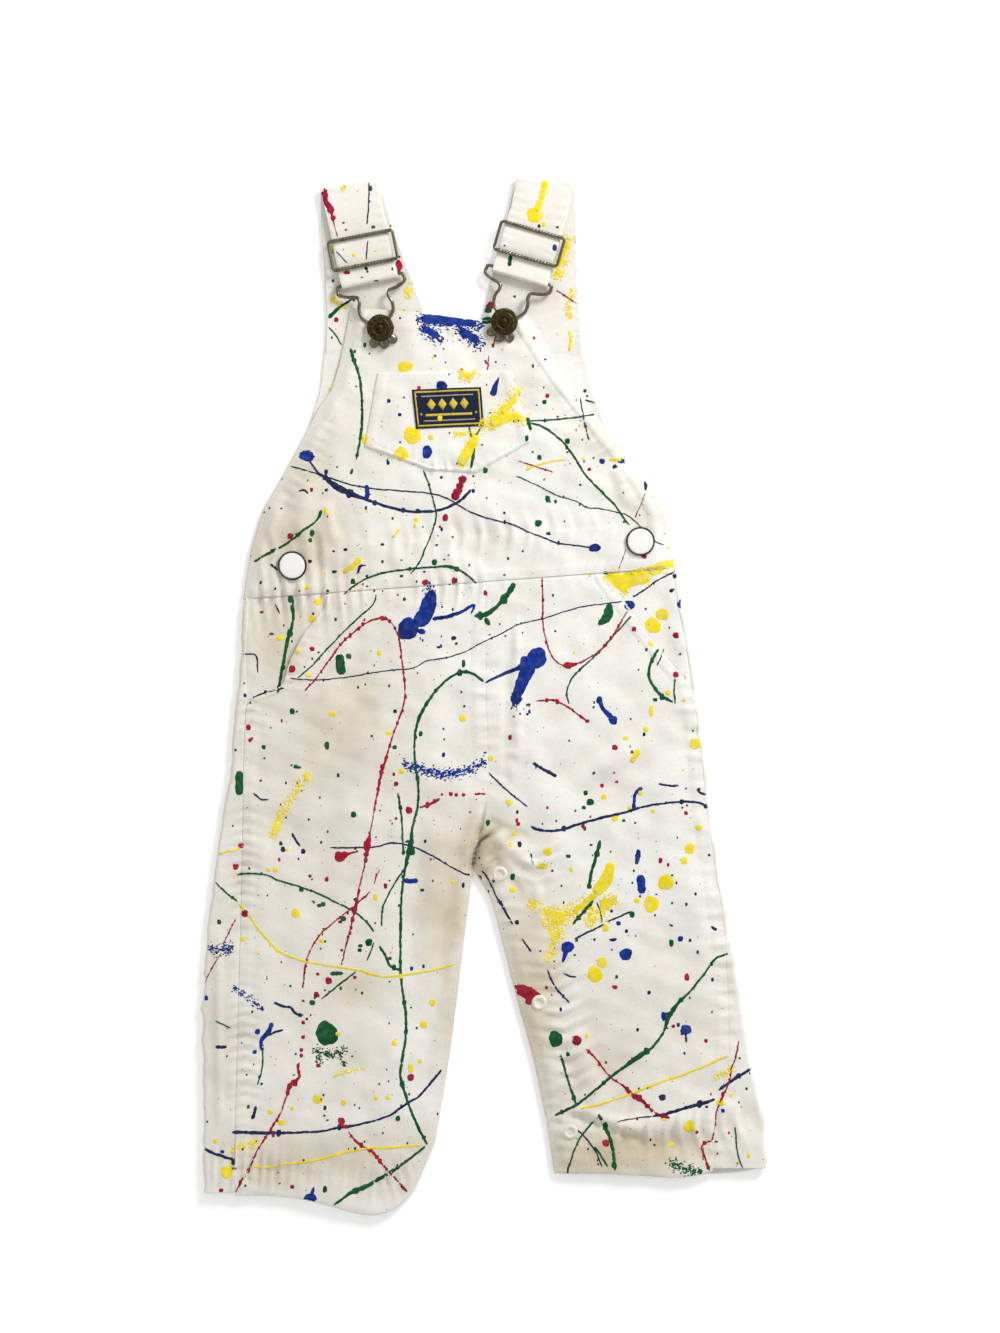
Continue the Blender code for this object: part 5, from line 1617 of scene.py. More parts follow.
def strap_rows(side):
    """The strap's rows in order along it, each its left end, its right end and its face's height: up
    the back, over the shoulder, down through the slider, round the buckle's bar and back up."""
    rear = REAR_STRAP[side]
    low, high = rear[0], rear[-1]
    tail_z = STRAP_LOW_Z - STRAP_TAIL_SUNK
    rows = [(low.left_x, low.left_y - STRAP_TAIL, low.right_x, low.right_y - STRAP_TAIL, tail_z)]
    rows += [(*section[1:5], STRAP_LOW_Z) for section in rear]
    radius = (SHOULDER_TOP_Z - STRAP_LOW_Z) / 2
    for angle in np.linspace(0, math.pi, SHOULDER_POINTS)[1:]:
        out = radius * math.sin(angle)
        z = STRAP_LOW_Z + radius * (1 - math.cos(angle))
        rows.append((high.left_x, high.left_y + out, high.right_x, high.right_y + out, z))
    stations = FRONT_STRAP[side]
    slider, bar = stations["slider"], stations["bar"]
    rows.append(across_station(stations["upper"], 0, STRAP_TOP_Z))
    for along, bulge in SLIDER_BULGES:
        rows.append(across_station(slider, along, STRAP_TOP_Z + bulge))
    for angle in np.linspace(0, math.pi, TURN_POINTS):
        out = -LOOP_RADIUS * math.sin(angle)
        rows.append(across_station(bar, out - LOOP_LOW, BAR_Z + LOOP_RADIUS * math.cos(angle)))
    for along in SLIDER_UNDER:
        rows.append(across_station(slider, along, STRAP_UNDER_Z))
    return np.array(rows)


def strap(side):
    """A shoulder strap in one length, folded over at the shoulder and looped through its buckle."""
    rows = strap_rows(side)
    middles = np.stack([(rows[:, 0] + rows[:, 2]) / 2, (rows[:, 1] + rows[:, 3]) / 2, rows[:, 4]])
    steps = np.linalg.norm(np.diff(middles, axis=1), axis=0)
    spots = np.concatenate([[0], np.cumsum(steps)])
    pitch = settings("cloth").pitch / MM
    places = []
    for start, end in zip(spots, spots[1:]):
        places.append(np.linspace(start, end, max(1, math.ceil((end - start) / pitch)), endpoint=False))
    along = np.concatenate([*places, spots[-1:]])
    left_x, left_y, right_x, right_y, face_z = (np.interp(along, spots, column) for column in rows.T)
    row = np.hypot(right_x - left_x, right_y - left_y)[:, None]
    share = rim_places(2 * STRAP_HALF_WIDTH, pitch) / (2 * STRAP_HALF_WIDTH)
    x = left_x[:, None] + (right_x - left_x)[:, None] * share
    y = left_y[:, None] + (right_y - left_y)[:, None] * share
    rim = np.minimum(share, 1 - share) * row
    # The puckers are uneven along the strap, and highest 3 mm inside its rims
    puckers = np.sin(math.tau * along / STRAP_PUCKER_PITCH + 2 * np.sin(along / 11))[:, None]
    high = STRAP_PUCKER * puckers * np.exp(-(((rim - 3) / 4) ** 2))
    high = high - STRAP_ROLL * (1 - smooth(rim / ROLL_WIDTH)) + STRAP_SLUB * slub_relief(x, y)
    # Up to half way over the shoulder the face looks down, and the strap is flatter there
    half_over = spots[len(REAR_STRAP[side]) + SHOULDER_POINTS // 2]
    outward = np.where(along < half_over, -REAR_RELIEF, 1.0)[:, None]
    loose = smooth((spots[-1] - along) / STRAP_LOOSE)[:, None]
    points = np.stack([x, y, face_z[:, None] + high * outward * loose], axis=-1)
    made = cloth_sheet(f"strap_{side}_cloth", points, slub_relief, STRAP_PLY * MM, flipped=True)
    declare([f"strap_{side}"])


# Things laid or sewn on the cloth


def joined(parts):
    """The points and the faces of several parts as those of one."""
    points, faces, start = [], [], 0
    for spots, corners in parts:
        points.append(spots)
        faces.append(corners + start)
        start += len(spots)
    return np.concatenate(points).tolist(), np.concatenate(faces).tolist()


def draped_on(names):
    """The named pieces' final faces, as a tree that a straight line can be tested against."""
    graph = bpy.context.evaluated_depsgraph_get()
    parts = []
    for name in names:
        evaluated = bpy.data.objects[name].evaluated_get(graph)
        mesh = evaluated.to_mesh()
        spots = np.empty(len(mesh.vertices) * 3, np.float32)
        mesh.vertices.foreach_get("co", spots)
        corners = np.empty(len(mesh.polygons) * 4, np.int32)
        mesh.polygons.foreach_get("vertices", corners)
        parts.append((spots.reshape(-1, 3), corners.reshape(-1, 4)))
        evaluated.to_mesh_clear()
    return BVHTree.FromPolygons(*joined(parts))


def mesh_of(name, points, faces):
    """A new mesh from lists of points and faces."""
    mesh = bpy.data.meshes.new(name)
    mesh.from_pydata(points, [], faces)
    return mesh


def heights_on(tree, x, y, under=False):
    """The height in millimetres of the cloth's highest face, or its lowest, at each place; a place
    with no cloth gets no number."""
    start_z = -CLEAR_BELOW * MM if under else CLEAR_ABOVE * MM
    way = Vector((0, 0, 1 if under else -1))
    found = np.full(x.size, np.nan)
    flat_x = ((x - MIDDLE_X) * MM).ravel()
    flat_y = ((y - MIDDLE_Y) * MM).ravel()
    for index, (px, py) in enumerate(zip(flat_x.tolist(), flat_y.tolist())):
        hit = tree.ray_cast(Vector((px, py, start_z)), way)[0]
        if hit:
            found[index] = hit.z / MM
    return found.reshape(x.shape)


class Film:
    """Small grids laid on the cloth, joined as one thin piece."""

    def __init__(self):
        self.x, self.y, self.lift, self.faces, self.count = [], [], [], [], 0

    def add(self, x, y, lift):
        """One grid of places, and how high each stands on the cloth."""
        index = self.count + np.arange(x.size).reshape(x.shape)
        corners = (index[:-1, :-1], index[:-1, 1:], index[1:, 1:], index[1:, :-1])
        self.faces.append(np.stack(corners, axis=-1).reshape(-1, 4))
        self.count += x.size
        for values, new in ((self.x, x), (self.y, y), (self.lift, lift)):
            values.append(np.broadcast_to(new, x.shape).ravel())

    def drop_on(self, tree, under=False):
        """Lays all that was added on the cloth. Faces that would hang off it are left out."""
        x, y, lift = (np.concatenate(values) for values in (self.x, self.y, self.lift))
        high = heights_on(tree, x, y, under)
        z = high - lift if under else high + lift
        faces = np.concatenate(self.faces)
        corners_z = high[faces]
        level = ~np.isnan(corners_z).any(axis=1)
        level[level] = np.ptp(corners_z[level], axis=1) < MOST_STEP
        points = np.stack([x - MIDDLE_X, y - MIDDLE_Y, z], axis=-1) * MM
        faces = faces[level]
        across = points[faces[:, 2]] - points[faces[:, 0]]
        along = points[faces[:, 3]] - points[faces[:, 1]]
        wrong = (across[:, 0] * along[:, 1] - across[:, 1] * along[:, 0] < 0) != under
        faces[wrong] = faces[wrong][:, ::-1]
        return points, faces


def film_piece(name, parts, thickness, material_name):
    """One thin closed piece from the points and faces of laid films."""
    used_parts = []
    for spots, corners in parts:
        used, moved = np.unique(corners, return_inverse=True)
        used_parts.append((spots[used], moved.reshape(-1, 4)))
    made = add_piece(name, mesh_of(name, *joined(used_parts)), material_name)
    thicken(made, thickness * MM)
    return made


def patch(film, corners):
    """A four-cornered flat figure of the label: its corners in turn round it."""
    a, b, c, d = (np.array(corner, float) for corner in corners)
    columns = max(1, math.ceil(math.dist(a, b) / FIGURE_STEP)) + 1
    rows = max(1, math.ceil(math.dist(b, c) / FIGURE_STEP)) + 1
    u = np.linspace(0, 1, columns)[None, :, None]
    v = np.linspace(0, 1, rows)[:, None, None]
    spots = (a * (1 - u) + b * u) * (1 - v) + (d * (1 - u) + c * u) * v
    film.add(spots[..., 0], spots[..., 1], np.full(spots.shape[:2], FIGURE_LIFT))


def on_label(u, v):
    """A place on the label, from shares across it and up it."""
    foot, head = LABEL
    low_x = foot.left_x + (foot.right_x - foot.left_x) * u
    low_y = foot.left_y + (foot.right_y - foot.left_y) * u
    top_x = head.left_x + (head.right_x - head.left_x) * u
    top_y = head.left_y + (head.right_y - head.left_y) * u
    return low_x + (top_x - low_x) * v, low_y + (top_y - low_y) * v


def label_figures(label):
    """A plain woven border with bars and diamonds, in two colours."""
    tree = draped_on([label.name])
    for name, colour, bars, diamonds in LABEL_FIGURES:
        film = Film()
        for u0, v0, u1, v1 in bars:
            patch(film, [on_label(u0, v0), on_label(u1, v0), on_label(u1, v1), on_label(u0, v1)])
        for u, v, half_u, half_v in diamonds:
            ends = ((u - half_u, v), (u, v - half_v), (u + half_u, v), (u, v + half_v))
            patch(film, [on_label(*end) for end in ends])
        film_piece(name, [film.drop_on(tree)], FIGURE_THICK, colour)


# Stitching


def edge_row(row, inset):
    """A line of stitching inside one edge of a piece, over the row's share of the edge."""
    outline = Outline(sewn_sections(row.piece), row.soft)
    if row.edge in ("left", "right"):
        count = max(8, round((row.end - row.start) * outline.long / 2))
        along = np.linspace(row.start, row.end, count) * outline.long
        across = inset / outline.at(0.5, along)[2]
        across = across if row.edge == "left" else 1 - across
    else:
        across = np.linspace(row.start, row.end, max(8, round((row.end - row.start) * outline.wide / 2)))
        along = np.full_like(across, inset if row.edge == "low" else outline.long - inset)
    x, y, _ = outline.at(across, along)
    return np.stack([x, y], axis=-1)


def directions(points):
    """The direction of a line at each of its points, one unit long."""
    run = np.gradient(points, axis=0)
    return run / np.maximum(np.linalg.norm(run, axis=1, keepdims=True), 1e-9)


def left_of(run):
    """Each direction turned a quarter to its left."""
    return np.stack([-run[:, 1], run[:, 0]], axis=-1)


def beside(points, offset):
    """A line moved to its left by an offset."""
    return points + offset * left_of(directions(points))


def evenly(points, step):
    """Places at even steps along a line, and the line's direction at each."""
    points = np.array(points, float)
    spots = np.concatenate([[0], np.cumsum(np.linalg.norm(np.diff(points, axis=0), axis=1))])
    along = np.arange(step / 2, spots[-1], step)
    places = np.stack([np.interp(along, spots, column) for column in points.T], axis=-1)
    return places, directions(places) if len(places) > 1 else np.zeros_like(places)


def stitch_lines():
    """All rows of stitching on the face, each with the highest place where it still lies."""
    lines = [(edge_row(row, inset), STITCH_TOP) for row in ROWS for inset in row.insets]
    for offsets, points in LINES:
        lines += [(beside(through(points, 6), offset), ANY_HEIGHT) for offset in offsets]
    for side in SIDES:
        stations = FRONT_STRAP[side]
        half = STRAP_HALF_WIDTH - STRAP_STITCH_INSET
        rows = [across_station(stations["bar"], 1, 0, half)]
        rows += [across_station(stations[name], 0, 0, half) for name in ("slider", "upper", "top")]
        lines += [([row[0:2] for row in rows], ANY_HEIGHT), ([row[2:4] for row in rows], ANY_HEIGHT)]
        rear = REAR_STRAP[side][1:]
        left = [(section.left_x + REAR_STITCH_INSET, section.left_y) for section in rear]
        right = [(section.right_x - REAR_STITCH_INSET, section.right_y) for section in rear]
        lines += [(left, REAR_STITCH_TOP), (right, REAR_STITCH_TOP)]
    return lines


def under_lines():
    """The rows of stitching on the back."""
    return [(edge_row(row, inset), ANY_HEIGHT) for row in UNDER_ROWS for inset in row.insets]


def stitches(lines, tree, under=False):
    """Short threads with sunk ends along the lines, as points and faces."""
    stitch = settings("stitch")
    half, radius = stitch.length / MM / 2, stitch.width / MM / 2
    places, runs, most = [], [], []
    for points, top in lines:
        spots, run = evenly(points, stitch.step / MM)
        places.append(spots)
        runs.append(run)
        most.append(np.full(len(spots), top))
    places, runs, most = np.concatenate(places), np.concatenate(runs), np.concatenate(most)
    shares, sunk, girth = np.array(STITCH_RINGS).T
    levels = np.array([heights_on(tree, *(places + runs * half * share).T, under) for share in shares[1:4]])
    keep = ~np.isnan(levels).any(axis=0) & (np.ptp(levels, axis=0) < STITCH_TILT)
    if not under:
        keep &= levels[1] < most
    places, runs, levels = places[keep], runs[keep], levels[:, keep]
    sides = left_of(runs)
    up = -1 if under else 1
    rings = []
    for share, low, thick, level in zip(shares, sunk, girth, levels[[0, 0, 1, 2, 2]]):
        middle = np.column_stack([places + runs * half * share, level + up * low * radius])
        for angle in np.arange(THREAD_SIDES) * math.tau / THREAD_SIDES:
            out = np.column_stack([sides * math.cos(angle), np.full(len(sides), math.sin(angle))])
            rings.append(middle + out * (thick * radius))
    points = np.stack(rings, axis=1)
    nearest = np.arange(THREAD_SIDES)
    further = np.roll(nearest, -1)
    faces = []
    for low in range(0, len(rings) - THREAD_SIDES, THREAD_SIDES):
        high = low + THREAD_SIDES
        faces.append(np.stack([low + nearest, low + further, high + further, high + nearest], axis=-1))
    faces = np.concatenate(faces)[None] + np.arange(len(points))[:, None, None] * len(rings)
    return (points.reshape(-1, 3) - (MIDDLE_X, MIDDLE_Y, 0)) * MM, faces.reshape(-1, 4)


def stitching_piece(name, parts):
    """All threads as one mesh, with the points at each thread's tips made one."""
    mesh = mesh_of(name, *joined(parts))
    threads = bmesh.new()
    threads.from_mesh(mesh)
    bmesh.ops.remove_doubles(threads, verts=threads.verts, dist=0.001 * MM)
    bmesh.ops.recalc_face_normals(threads, faces=threads.faces)
    threads.to_mesh(mesh)
    threads.free()
    return add_piece(name, mesh, "cotton thread")


# Paint


def through(points, steps):
    """A smooth line through points of any numbers, with that many steps between two of them."""
    points = [np.array(point, float) for point in points]
    ends = [points[0], *points, points[-1]]
    line = []
    for a, b, c, d in zip(ends, ends[1:], ends[2:], ends[3:]):
        for t in np.arange(steps) / steps:
            bend = 2 * a - 5 * b + 4 * c - d + t * (3 * b - a - 3 * c + d)
            line.append(b + 0.5 * t * (c - a + t * bend))
    line.append(points[-1])
    return np.array(line)


def widened(mark, thin=RUN_SHARE):
    """A mark's places, each with its own mean width. A thin run loses more of its width."""
    points = []
    for x, y, *own in mark[1:]:
        width = own[0] if own else mark[0]
        points.append((x, y, width * (thin if width < THIN_RUN else RUN_SHARE)))
    return points


def spaced(points):
    """A smooth line of paint through points, at even steps, and the distance along it."""
    line = through(points, 8)
    spots = np.concatenate([[0], np.cumsum(np.hypot(*np.diff(line[:, :2], axis=0).T))])
    along = np.linspace(0, spots[-1], max(4, math.ceil(spots[-1] / PAINT_STEP)) + 1)
    return np.stack([np.interp(along, spots, column) for column in line.T], axis=-1), along


def uneven(rng, along, spacing):
    """A soft random line of numbers about 0, for a wavering width or course."""
    total = np.zeros_like(along)
    for divisor in (1.0, 0.53, 0.29):
        total += np.sin(along * math.tau / (spacing * divisor) + rng.uniform(0, math.tau))
    return total / 3


def film_lift(out):
    """The height of a mark's face at shares of the way from its middle to its rim, which sinks in."""
    return PAINT_HIGH * (1 - out**4) - PAINT_SUNK * out**8


def add_run(film, rng, points, waver):
    """A run of paint with round ends, whose width and course waver."""
    line, along = spaced(points)
    wide = float(line[:, 2].max())
    half = np.maximum(line[:, 2] / 2, LEAST_HALF_RUN)
    waver *= min(1, WAVERING_RUN / wide)
    half *= np.maximum(1 + waver * uneven(rng, along, 9) + waver * uneven(rng, along, 4.2), 0.3)
    ends = np.minimum(along, along[-1] - along) / half
    half *= np.sqrt(np.clip(1 - (1 - np.clip(ends + 0.15, 0, 1)) ** 2, 0.02, 1))
    side = left_of(directions(line[:, :2]))
    middle = line[:, :2] + side * (COURSE_WAVER * uneven(rng, along, 16))[:, None]
    shares = THIN_COLUMNS if wide < FINE_RUN else STROKE_COLUMNS
    if wide > BROAD_RUN:
        shares = np.concatenate([[-1, -0.86], np.linspace(-0.7, 0.7, 2 + round(wide / 1.6)), [0.86, 1]])
    x = middle[:, :1] + side[:, :1] * half[:, None] * shares
    y = middle[:, 1:] + side[:, 1:] * half[:, None] * shares
    film.add(x, y, np.broadcast_to(film_lift(np.abs(shares)), x.shape))


def add_blob(film, rng, x, y, wide, high, ragged=0.055):
    """A drop of paint with an uneven outline."""
    count = max(2, math.ceil(max(wide, high) / BLOB_STEP))
    u, v = np.meshgrid(np.linspace(-1, 1, count + 1), np.linspace(-1, 1, count + 1))
    disc_x, disc_y = u * np.sqrt(1 - v * v / 2), v * np.sqrt(1 - u * u / 2)
    angle = np.arctan2(disc_y, disc_x)
    reach = np.ones_like(angle)
    for waves, share in BLOB_WAVES:
        reach += ragged * share * np.sin(waves * angle + rng.uniform(0, math.tau))
    lift = film_lift(np.hypot(disc_x, disc_y))
    film.add(x + disc_x * reach * wide / 2, y + disc_y * reach * high / 2, lift)


def add_dab(film, x, y, long, thick, turn):
    """One small oval of paint, turned along its brush mark."""
    u, v = np.meshgrid((-1, 0, 1), (-1, 0, 1))
    along = u * np.sqrt(1 - v * v / 2) * long / 2
    across = v * np.sqrt(1 - u * u / 2) * thick / 2
    lift = PAINT_HIGH - (PAINT_HIGH + DAB_SUNK) * np.maximum(abs(u), abs(v))
    dab_x = x + along * math.cos(turn) - across * math.sin(turn)
    dab_y = y + along * math.sin(turn) + across * math.cos(turn)
    film.add(dab_x, dab_y, lift)


def add_beads(film, rng, points, spacing):
    """The thicker places of a run, where the paint drew together as it landed."""
    line, along = spaced(points)
    at = rng.uniform(0.3, 1.0) * spacing
    while at < along[-1]:
        x, y, width = (float(np.interp(at, along, column)) for column in line.T)
        size = min(width * rng.uniform(1.2, 2.1) + 0.3, width + 1.7)
        x, y = x + rng.normal(0, BEAD_SCATTER), y + rng.normal(0, BEAD_SCATTER)
        add_blob(film, rng, x, y, size, size * rng.uniform(0.9, 1.5))
        at += spacing * rng.uniform(0.5, 1.6)


def add_brush(film, rng, points):
    """A dry brush's mark: short dabs along it, close in its middle and loose at its edges."""
    line, along = spaced(points)
    run = directions(line[:, :2])
    for _ in range(round(DABS * float(np.trapz(line[:, 2], along)))):
        index = rng.integers(len(line))
        across = float(np.clip(rng.normal(0, 0.5), -1.2, 1.2))
        x, y, width = line[index]
        run_x, run_y = run[index]
        x = x - run_y * across * width / 2 + rng.normal(0, DAB_SCATTER)
        y = y + run_x * across * width / 2 + rng.normal(0, DAB_SCATTER)
        long = rng.uniform(0.9, 2.8) * (1 - 0.3 * abs(across))
        thick = rng.uniform(0.6, 1.25) * (1.25 - 0.5 * abs(across))
        add_dab(film, x, y, long, thick, math.atan2(run_y, run_x) + rng.normal(0, 0.25))


def specks(rng, amount, near):
    """Places and sizes of small drops, half of them near larger marks."""
    drops = []
    half_x, half_y = SPECK_AREA
    for number in range(amount):
        if number % 2:
            x, y = near[rng.integers(len(near))]
            x, y = x + rng.normal(0, SPECK_SCATTER), y + rng.normal(0, SPECK_SCATTER)
        else:
            x, y = rng.uniform(-half_x, half_x), rng.uniform(-half_y, half_y)
        size = min(LEAST_SPECK + rng.exponential(MEAN_SPECK), MOST_SPECK)
        drops.append((x, y, size, size * rng.uniform(0.65, 1.5)))
    return drops


def paint_film(rng, coat, marks, amount, near):
    """One colour's runs, drops, dry marks and specks."""
    film = Film()
    for mark in marks.runs:
        points = widened(mark, coat.thin)
        add_run(film, rng, points, coat.waver)
        add_beads(film, rng, points, coat.beads)
    for x, y, wide, *high in marks.drops:
        add_blob(film, rng, x, y, wide, *(high or [wide]))
    for mark in marks.dry:
        add_brush(film, rng, widened(mark))
    for drop in specks(rng, amount, near):
        add_blob(film, rng, *drop, 0.06)
    return film


# Hardware


def turned_mesh(name, profile, ripples, sides):
    """A closed turned form. Each row of its profile is radius, height and how high its ripples stand,
    from the middle of the top to the middle of the foot."""
    angles = np.arange(sides) * math.tau / sides
    points = [(0, 0, profile[0][1])]
    for radius, height, wave in profile[1:-1]:
        for angle in angles:
            z = height + wave * math.cos(ripples * angle)
            points.append((radius * math.cos(angle), radius * math.sin(angle), z))
    points.append((0, 0, profile[-1][1]))
    last = len(points) - 1
    foot = last - sides
    faces = []
    for side in range(sides):
        following = (side + 1) % sides
        faces.append((0, 1 + side, 1 + following))
        for low in range(1, foot, sides):
            high = low + sides
            faces.append((low + side, high + side, high + following, low + following))
        faces.append((foot + side, last, foot + following))
    return mesh_of(name, [Vector(point) * MM for point in points], faces)


def turned(name, profile, spot, z, material_name, slot, nodes=(), ripples=0, sides=64):
    """A turned piece of hardware that stands at a place."""
    made = add_piece(name, turned_mesh(name, profile, ripples, sides), material_name)
    made.location = Vector((spot[0] - MIDDLE_X, spot[1] - MIDDLE_Y, z)) * MM
    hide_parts(*nodes)


def seated(made, station, z):
    """Puts a piece of hardware at a station, turned with the strap."""
    made.location = Vector((station.x - MIDDLE_X, station.y - MIDDLE_Y, z)) * MM
    made.rotation_euler = (0, 0, math.radians(station.tilt))


def wire_piece(name, points, radius, node):
    """A closed ring of round wire through points of x, y, z and a share of its radius."""
    curve = bpy.data.curves.new(name, "CURVE")
    curve.dimensions = "3D"
    curve.bevel_depth = radius
    curve.bevel_resolution = 4
    curve.use_fill_caps = False
    spline = curve.splines.new("POLY")
    spline.points.add(len(points) - 1)
    for target, (x, y, z, share) in zip(spline.points, points):
        target.co = (x * MM, y * MM, z * MM, 1)
        target.radius = share
    spline.use_cyclic_u = True
    made = add_piece(name, curve, "worn nickel")
    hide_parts(node)
    return made


def slider(side):
    """The strap's slider: a frame of flat wire with two toothed bars over the cloth."""
    corners = np.array([(-1, -1), (1, -1), (1, 1), (-1, 1)]) * (SLIDER_HALF_WIDTH, SLIDER_HALF_HEIGHT)
    points = []
    for number, start in enumerate(corners):
        end = corners[(number + 1) % 4]
        long = math.dist(start, end)
        toothed = number % 2 == 0
        for along in np.arange(1.0, long - 0.9, SLIDER_STEP):
            x, y = start + (end - start) * along / long
            share = 1.0 if toothed else SLIDER_THIN
            if toothed and min(along, long - along) > TOOTH_MARGIN:
                share += TOOTH_DEPTH * math.cos(math.tau * along / TOOTH_PITCH)
            points.append((x, y, 0, share))
    made = wire_piece(f"slider_{side}_wire", points, SLIDER_RADIUS * MM, f"slider_{side}")
    seated(made, FRONT_STRAP[side]["slider"], ON_FRONT_Z + SLIDER_LIFT)


def wire_height(along):
    """The wire's height above its loop at the button."""
    return (BAR_Z - WIRE_Z) * smooth((along - WIRE_FLAT) / WIRE_FALL)


def wire_buckle(side):
    """The buckle of one closed wire: a bar in the strap's loop, shoulders, and a keyhole loop."""
    half = through([(0.0, BAR_REACH), (BAR_STRAIGHT, BAR_REACH), *WIRE_ROUTE, (0.0, WIRE_FOOT)], 5)[:-1]
    right = [(x, y, float(wire_height(y)), 1.0) for x, y in half]
    left = [(-x, y, z, share) for x, y, z, share in reversed(right[1:])]
    points = [*right, (0, WIRE_FOOT, 0, 1.0), *left]
    made = wire_piece(f"buckle_{side}_wire", points, settings("metal").wire, f"buckle_{side}")
    seated(made, FRONT_STRAP[side]["button"], WIRE_Z)


def catch(side):
    """The pressed catch at the foot of the wire loop: three domed lobes that show below the button."""
    turn = np.linspace(-1.5, 1.5, 61)  # in lobes, from the middle one's middle
    out = np.linspace(0, 1, 11)[:, None]
    lobes = np.abs(np.cos(math.pi * turn)) ** 0.6
    reach = CATCH_INNER + (CATCH_NOTCH + CATCH_LOBE * lobes - CATCH_INNER) * out
    z = CATCH_HIGH * np.sqrt(1 - 0.97 * out**2) * (0.45 + 0.55 * lobes)
    angle = turn * math.radians(CATCH_TURN)
    points = np.stack([reach * np.sin(angle), -reach * np.cos(angle), z], axis=-1).reshape(-1, 3) * MM
    index = np.arange(z.size).reshape(z.shape)
    faces = np.stack([index[:-1, :-1], index[1:, :-1], index[1:, 1:], index[:-1, 1:]], axis=-1)
    name = f"catch_{side}_plate"
    mesh = mesh_of(name, points.tolist(), faces.reshape(-1, 4).tolist())
    made = add_piece(name, mesh, "worn nickel")
    thicken(made, CATCH_WALL * MM)
    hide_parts(f"catch_{side}")
    seated(made, FRONT_STRAP[side]["button"], ON_FRONT_Z + CATCH_LIFT)


def rest_height(tree, spot, radius):
    """The height at which a round thing rests on the cloth."""
    angles = np.linspace(0, math.tau, 12, endpoint=False)
    x = np.append(spot[0] + REST_SHARE * radius * np.cos(angles), spot[0])
    y = np.append(spot[1] + REST_SHARE * radius * np.sin(angles), spot[1])
    return float(np.nanmean(heights_on(tree, x, y)))


# Stage


def lay_camera(stage):
    """The camera, straight above the garment."""
    camera = bpy.data.objects.new("camera", bpy.data.cameras.new("camera"))
    bpy.context.scene.collection.objects.link(camera)
    camera.location = (stage.view_x, stage.view_y, stage.height)
    camera.data.sensor_width = SENSOR
    camera.data.lens = SENSOR * stage.height / stage.view
    camera.data.clip_start = 0.01
    bpy.context.scene.camera = camera


def lay_lights(stage):
    """Two soft lamps, and a sky that is white where it is seen."""
    scene = bpy.context.scene
    for lamp in LAMPS:
        made = bpy.data.objects.new(lamp.name, bpy.data.lights.new(lamp.name, "AREA"))
        scene.collection.objects.link(made)
        made.data.energy = getattr(stage, lamp.name)
        made.data.shape = "DISK"
        made.data.size = lamp.size
        made.location = lamp.place
        made.rotation_euler = (-Vector(lamp.place)).to_track_quat("-Z", "Y").to_euler()
    scene.world = bpy.data.worlds.new("sky")
    scene.world.use_nodes = True
    tree = scene.world.node_tree
    seen = add_node(tree, "LightPath", {}, "Is Camera Ray")
    strength = add_node(tree, "MapRange", stretched(seen, 0, 1, stage.sky, 1.0))
    set_inputs(tree, tree.nodes["Background"], {"Color": (1, 1, 1), "Strength": strength})


def lay_surface():
    """The flat card under the garment."""
    mesh = bpy.data.meshes.new("surface")
    sheet = bmesh.new()
    bmesh.ops.create_grid(sheet, x_segments=8, y_segments=8, size=FLOOR_SIZE)
    sheet.to_mesh(mesh)
    sheet.free()
    surface = bpy.data.objects.new("surface", mesh)
    bpy.context.scene.collection.objects.link(surface)
    surface.location.z = FLOOR_Z * MM
    mesh.materials.append(material("smooth card"))


# Operators


class OVERALLS_OT_back(bpy.types.Operator):
    """Make the back bib, the backs of the legs and the hip pockets"""

    bl_idname = "overalls.back"
    bl_label = "Back and Hip Pockets"

    def execute(self, context):
        back_bib()
        for side, outer in zip(SIDES, ("left", "right")):
            back_leg(side)
            panel(
                f"hip_pocket_{side}_cloth",
                HIP_POCKET[side],
                POCKET_BAG_TOP,
                [f"hip_pocket_{side}"],
                height=pocket_bag_relief,
                tuck=waist_tuck,
                meets=outer,
            )
        return {"FINISHED"}


class OVERALLS_OT_front(bpy.types.Operator):
    """Make the fronts of the legs and the bib with its waistband"""

    bl_idname = "overalls.front"
    bl_label = "Front Legs and Bib"

    def execute(self, context):
        for side in SIDES:
            front_leg(side)
        nodes = ["bib", "waistband"]
        panel("bib_cloth", BIB, FRONT_TOP, nodes, closed=SIDES, piece="bib")
        return {"FINISHED"}


class OVERALLS_OT_pocket(bpy.types.Operator):
    """Make the bib pocket and its woven label"""

    bl_idname = "overalls.pocket"
    bl_label = "Bib Pocket and Label"

    def execute(self, context):
        panel(
            "bib_pocket_cloth",
            BIB_POCKET,
            POCKET_TOP,
            ["bib_pocket"],
            soft=1.0,
            roll=0.55,
            piece="bib pocket",
        )
        label = panel("label_cloth", LABEL, LABEL_TOP, ["label"], soft=0.8, roll=0.2)
        label.data.materials[0] = material("navy damask")
        label_figures(label)
        return {"FINISHED"}


class OVERALLS_OT_straps(bpy.types.Operator):
    """Make the two shoulder straps"""

    bl_idname = "overalls.straps"
    bl_label = "Straps"

    def execute(self, context):
        for side in SIDES:
            strap(side)
        return {"FINISHED"}


class OVERALLS_OT_buckles(bpy.types.Operator):
    """Make the sliders, the wire buckles and their catches"""

    bl_idname = "overalls.buckles"
    bl_label = "Sliders and Buckles"

    def execute(self, context):
        for side in SIDES:
            slider(side)
            wire_buckle(side)
            catch(side)
        return {"FINISHED"}


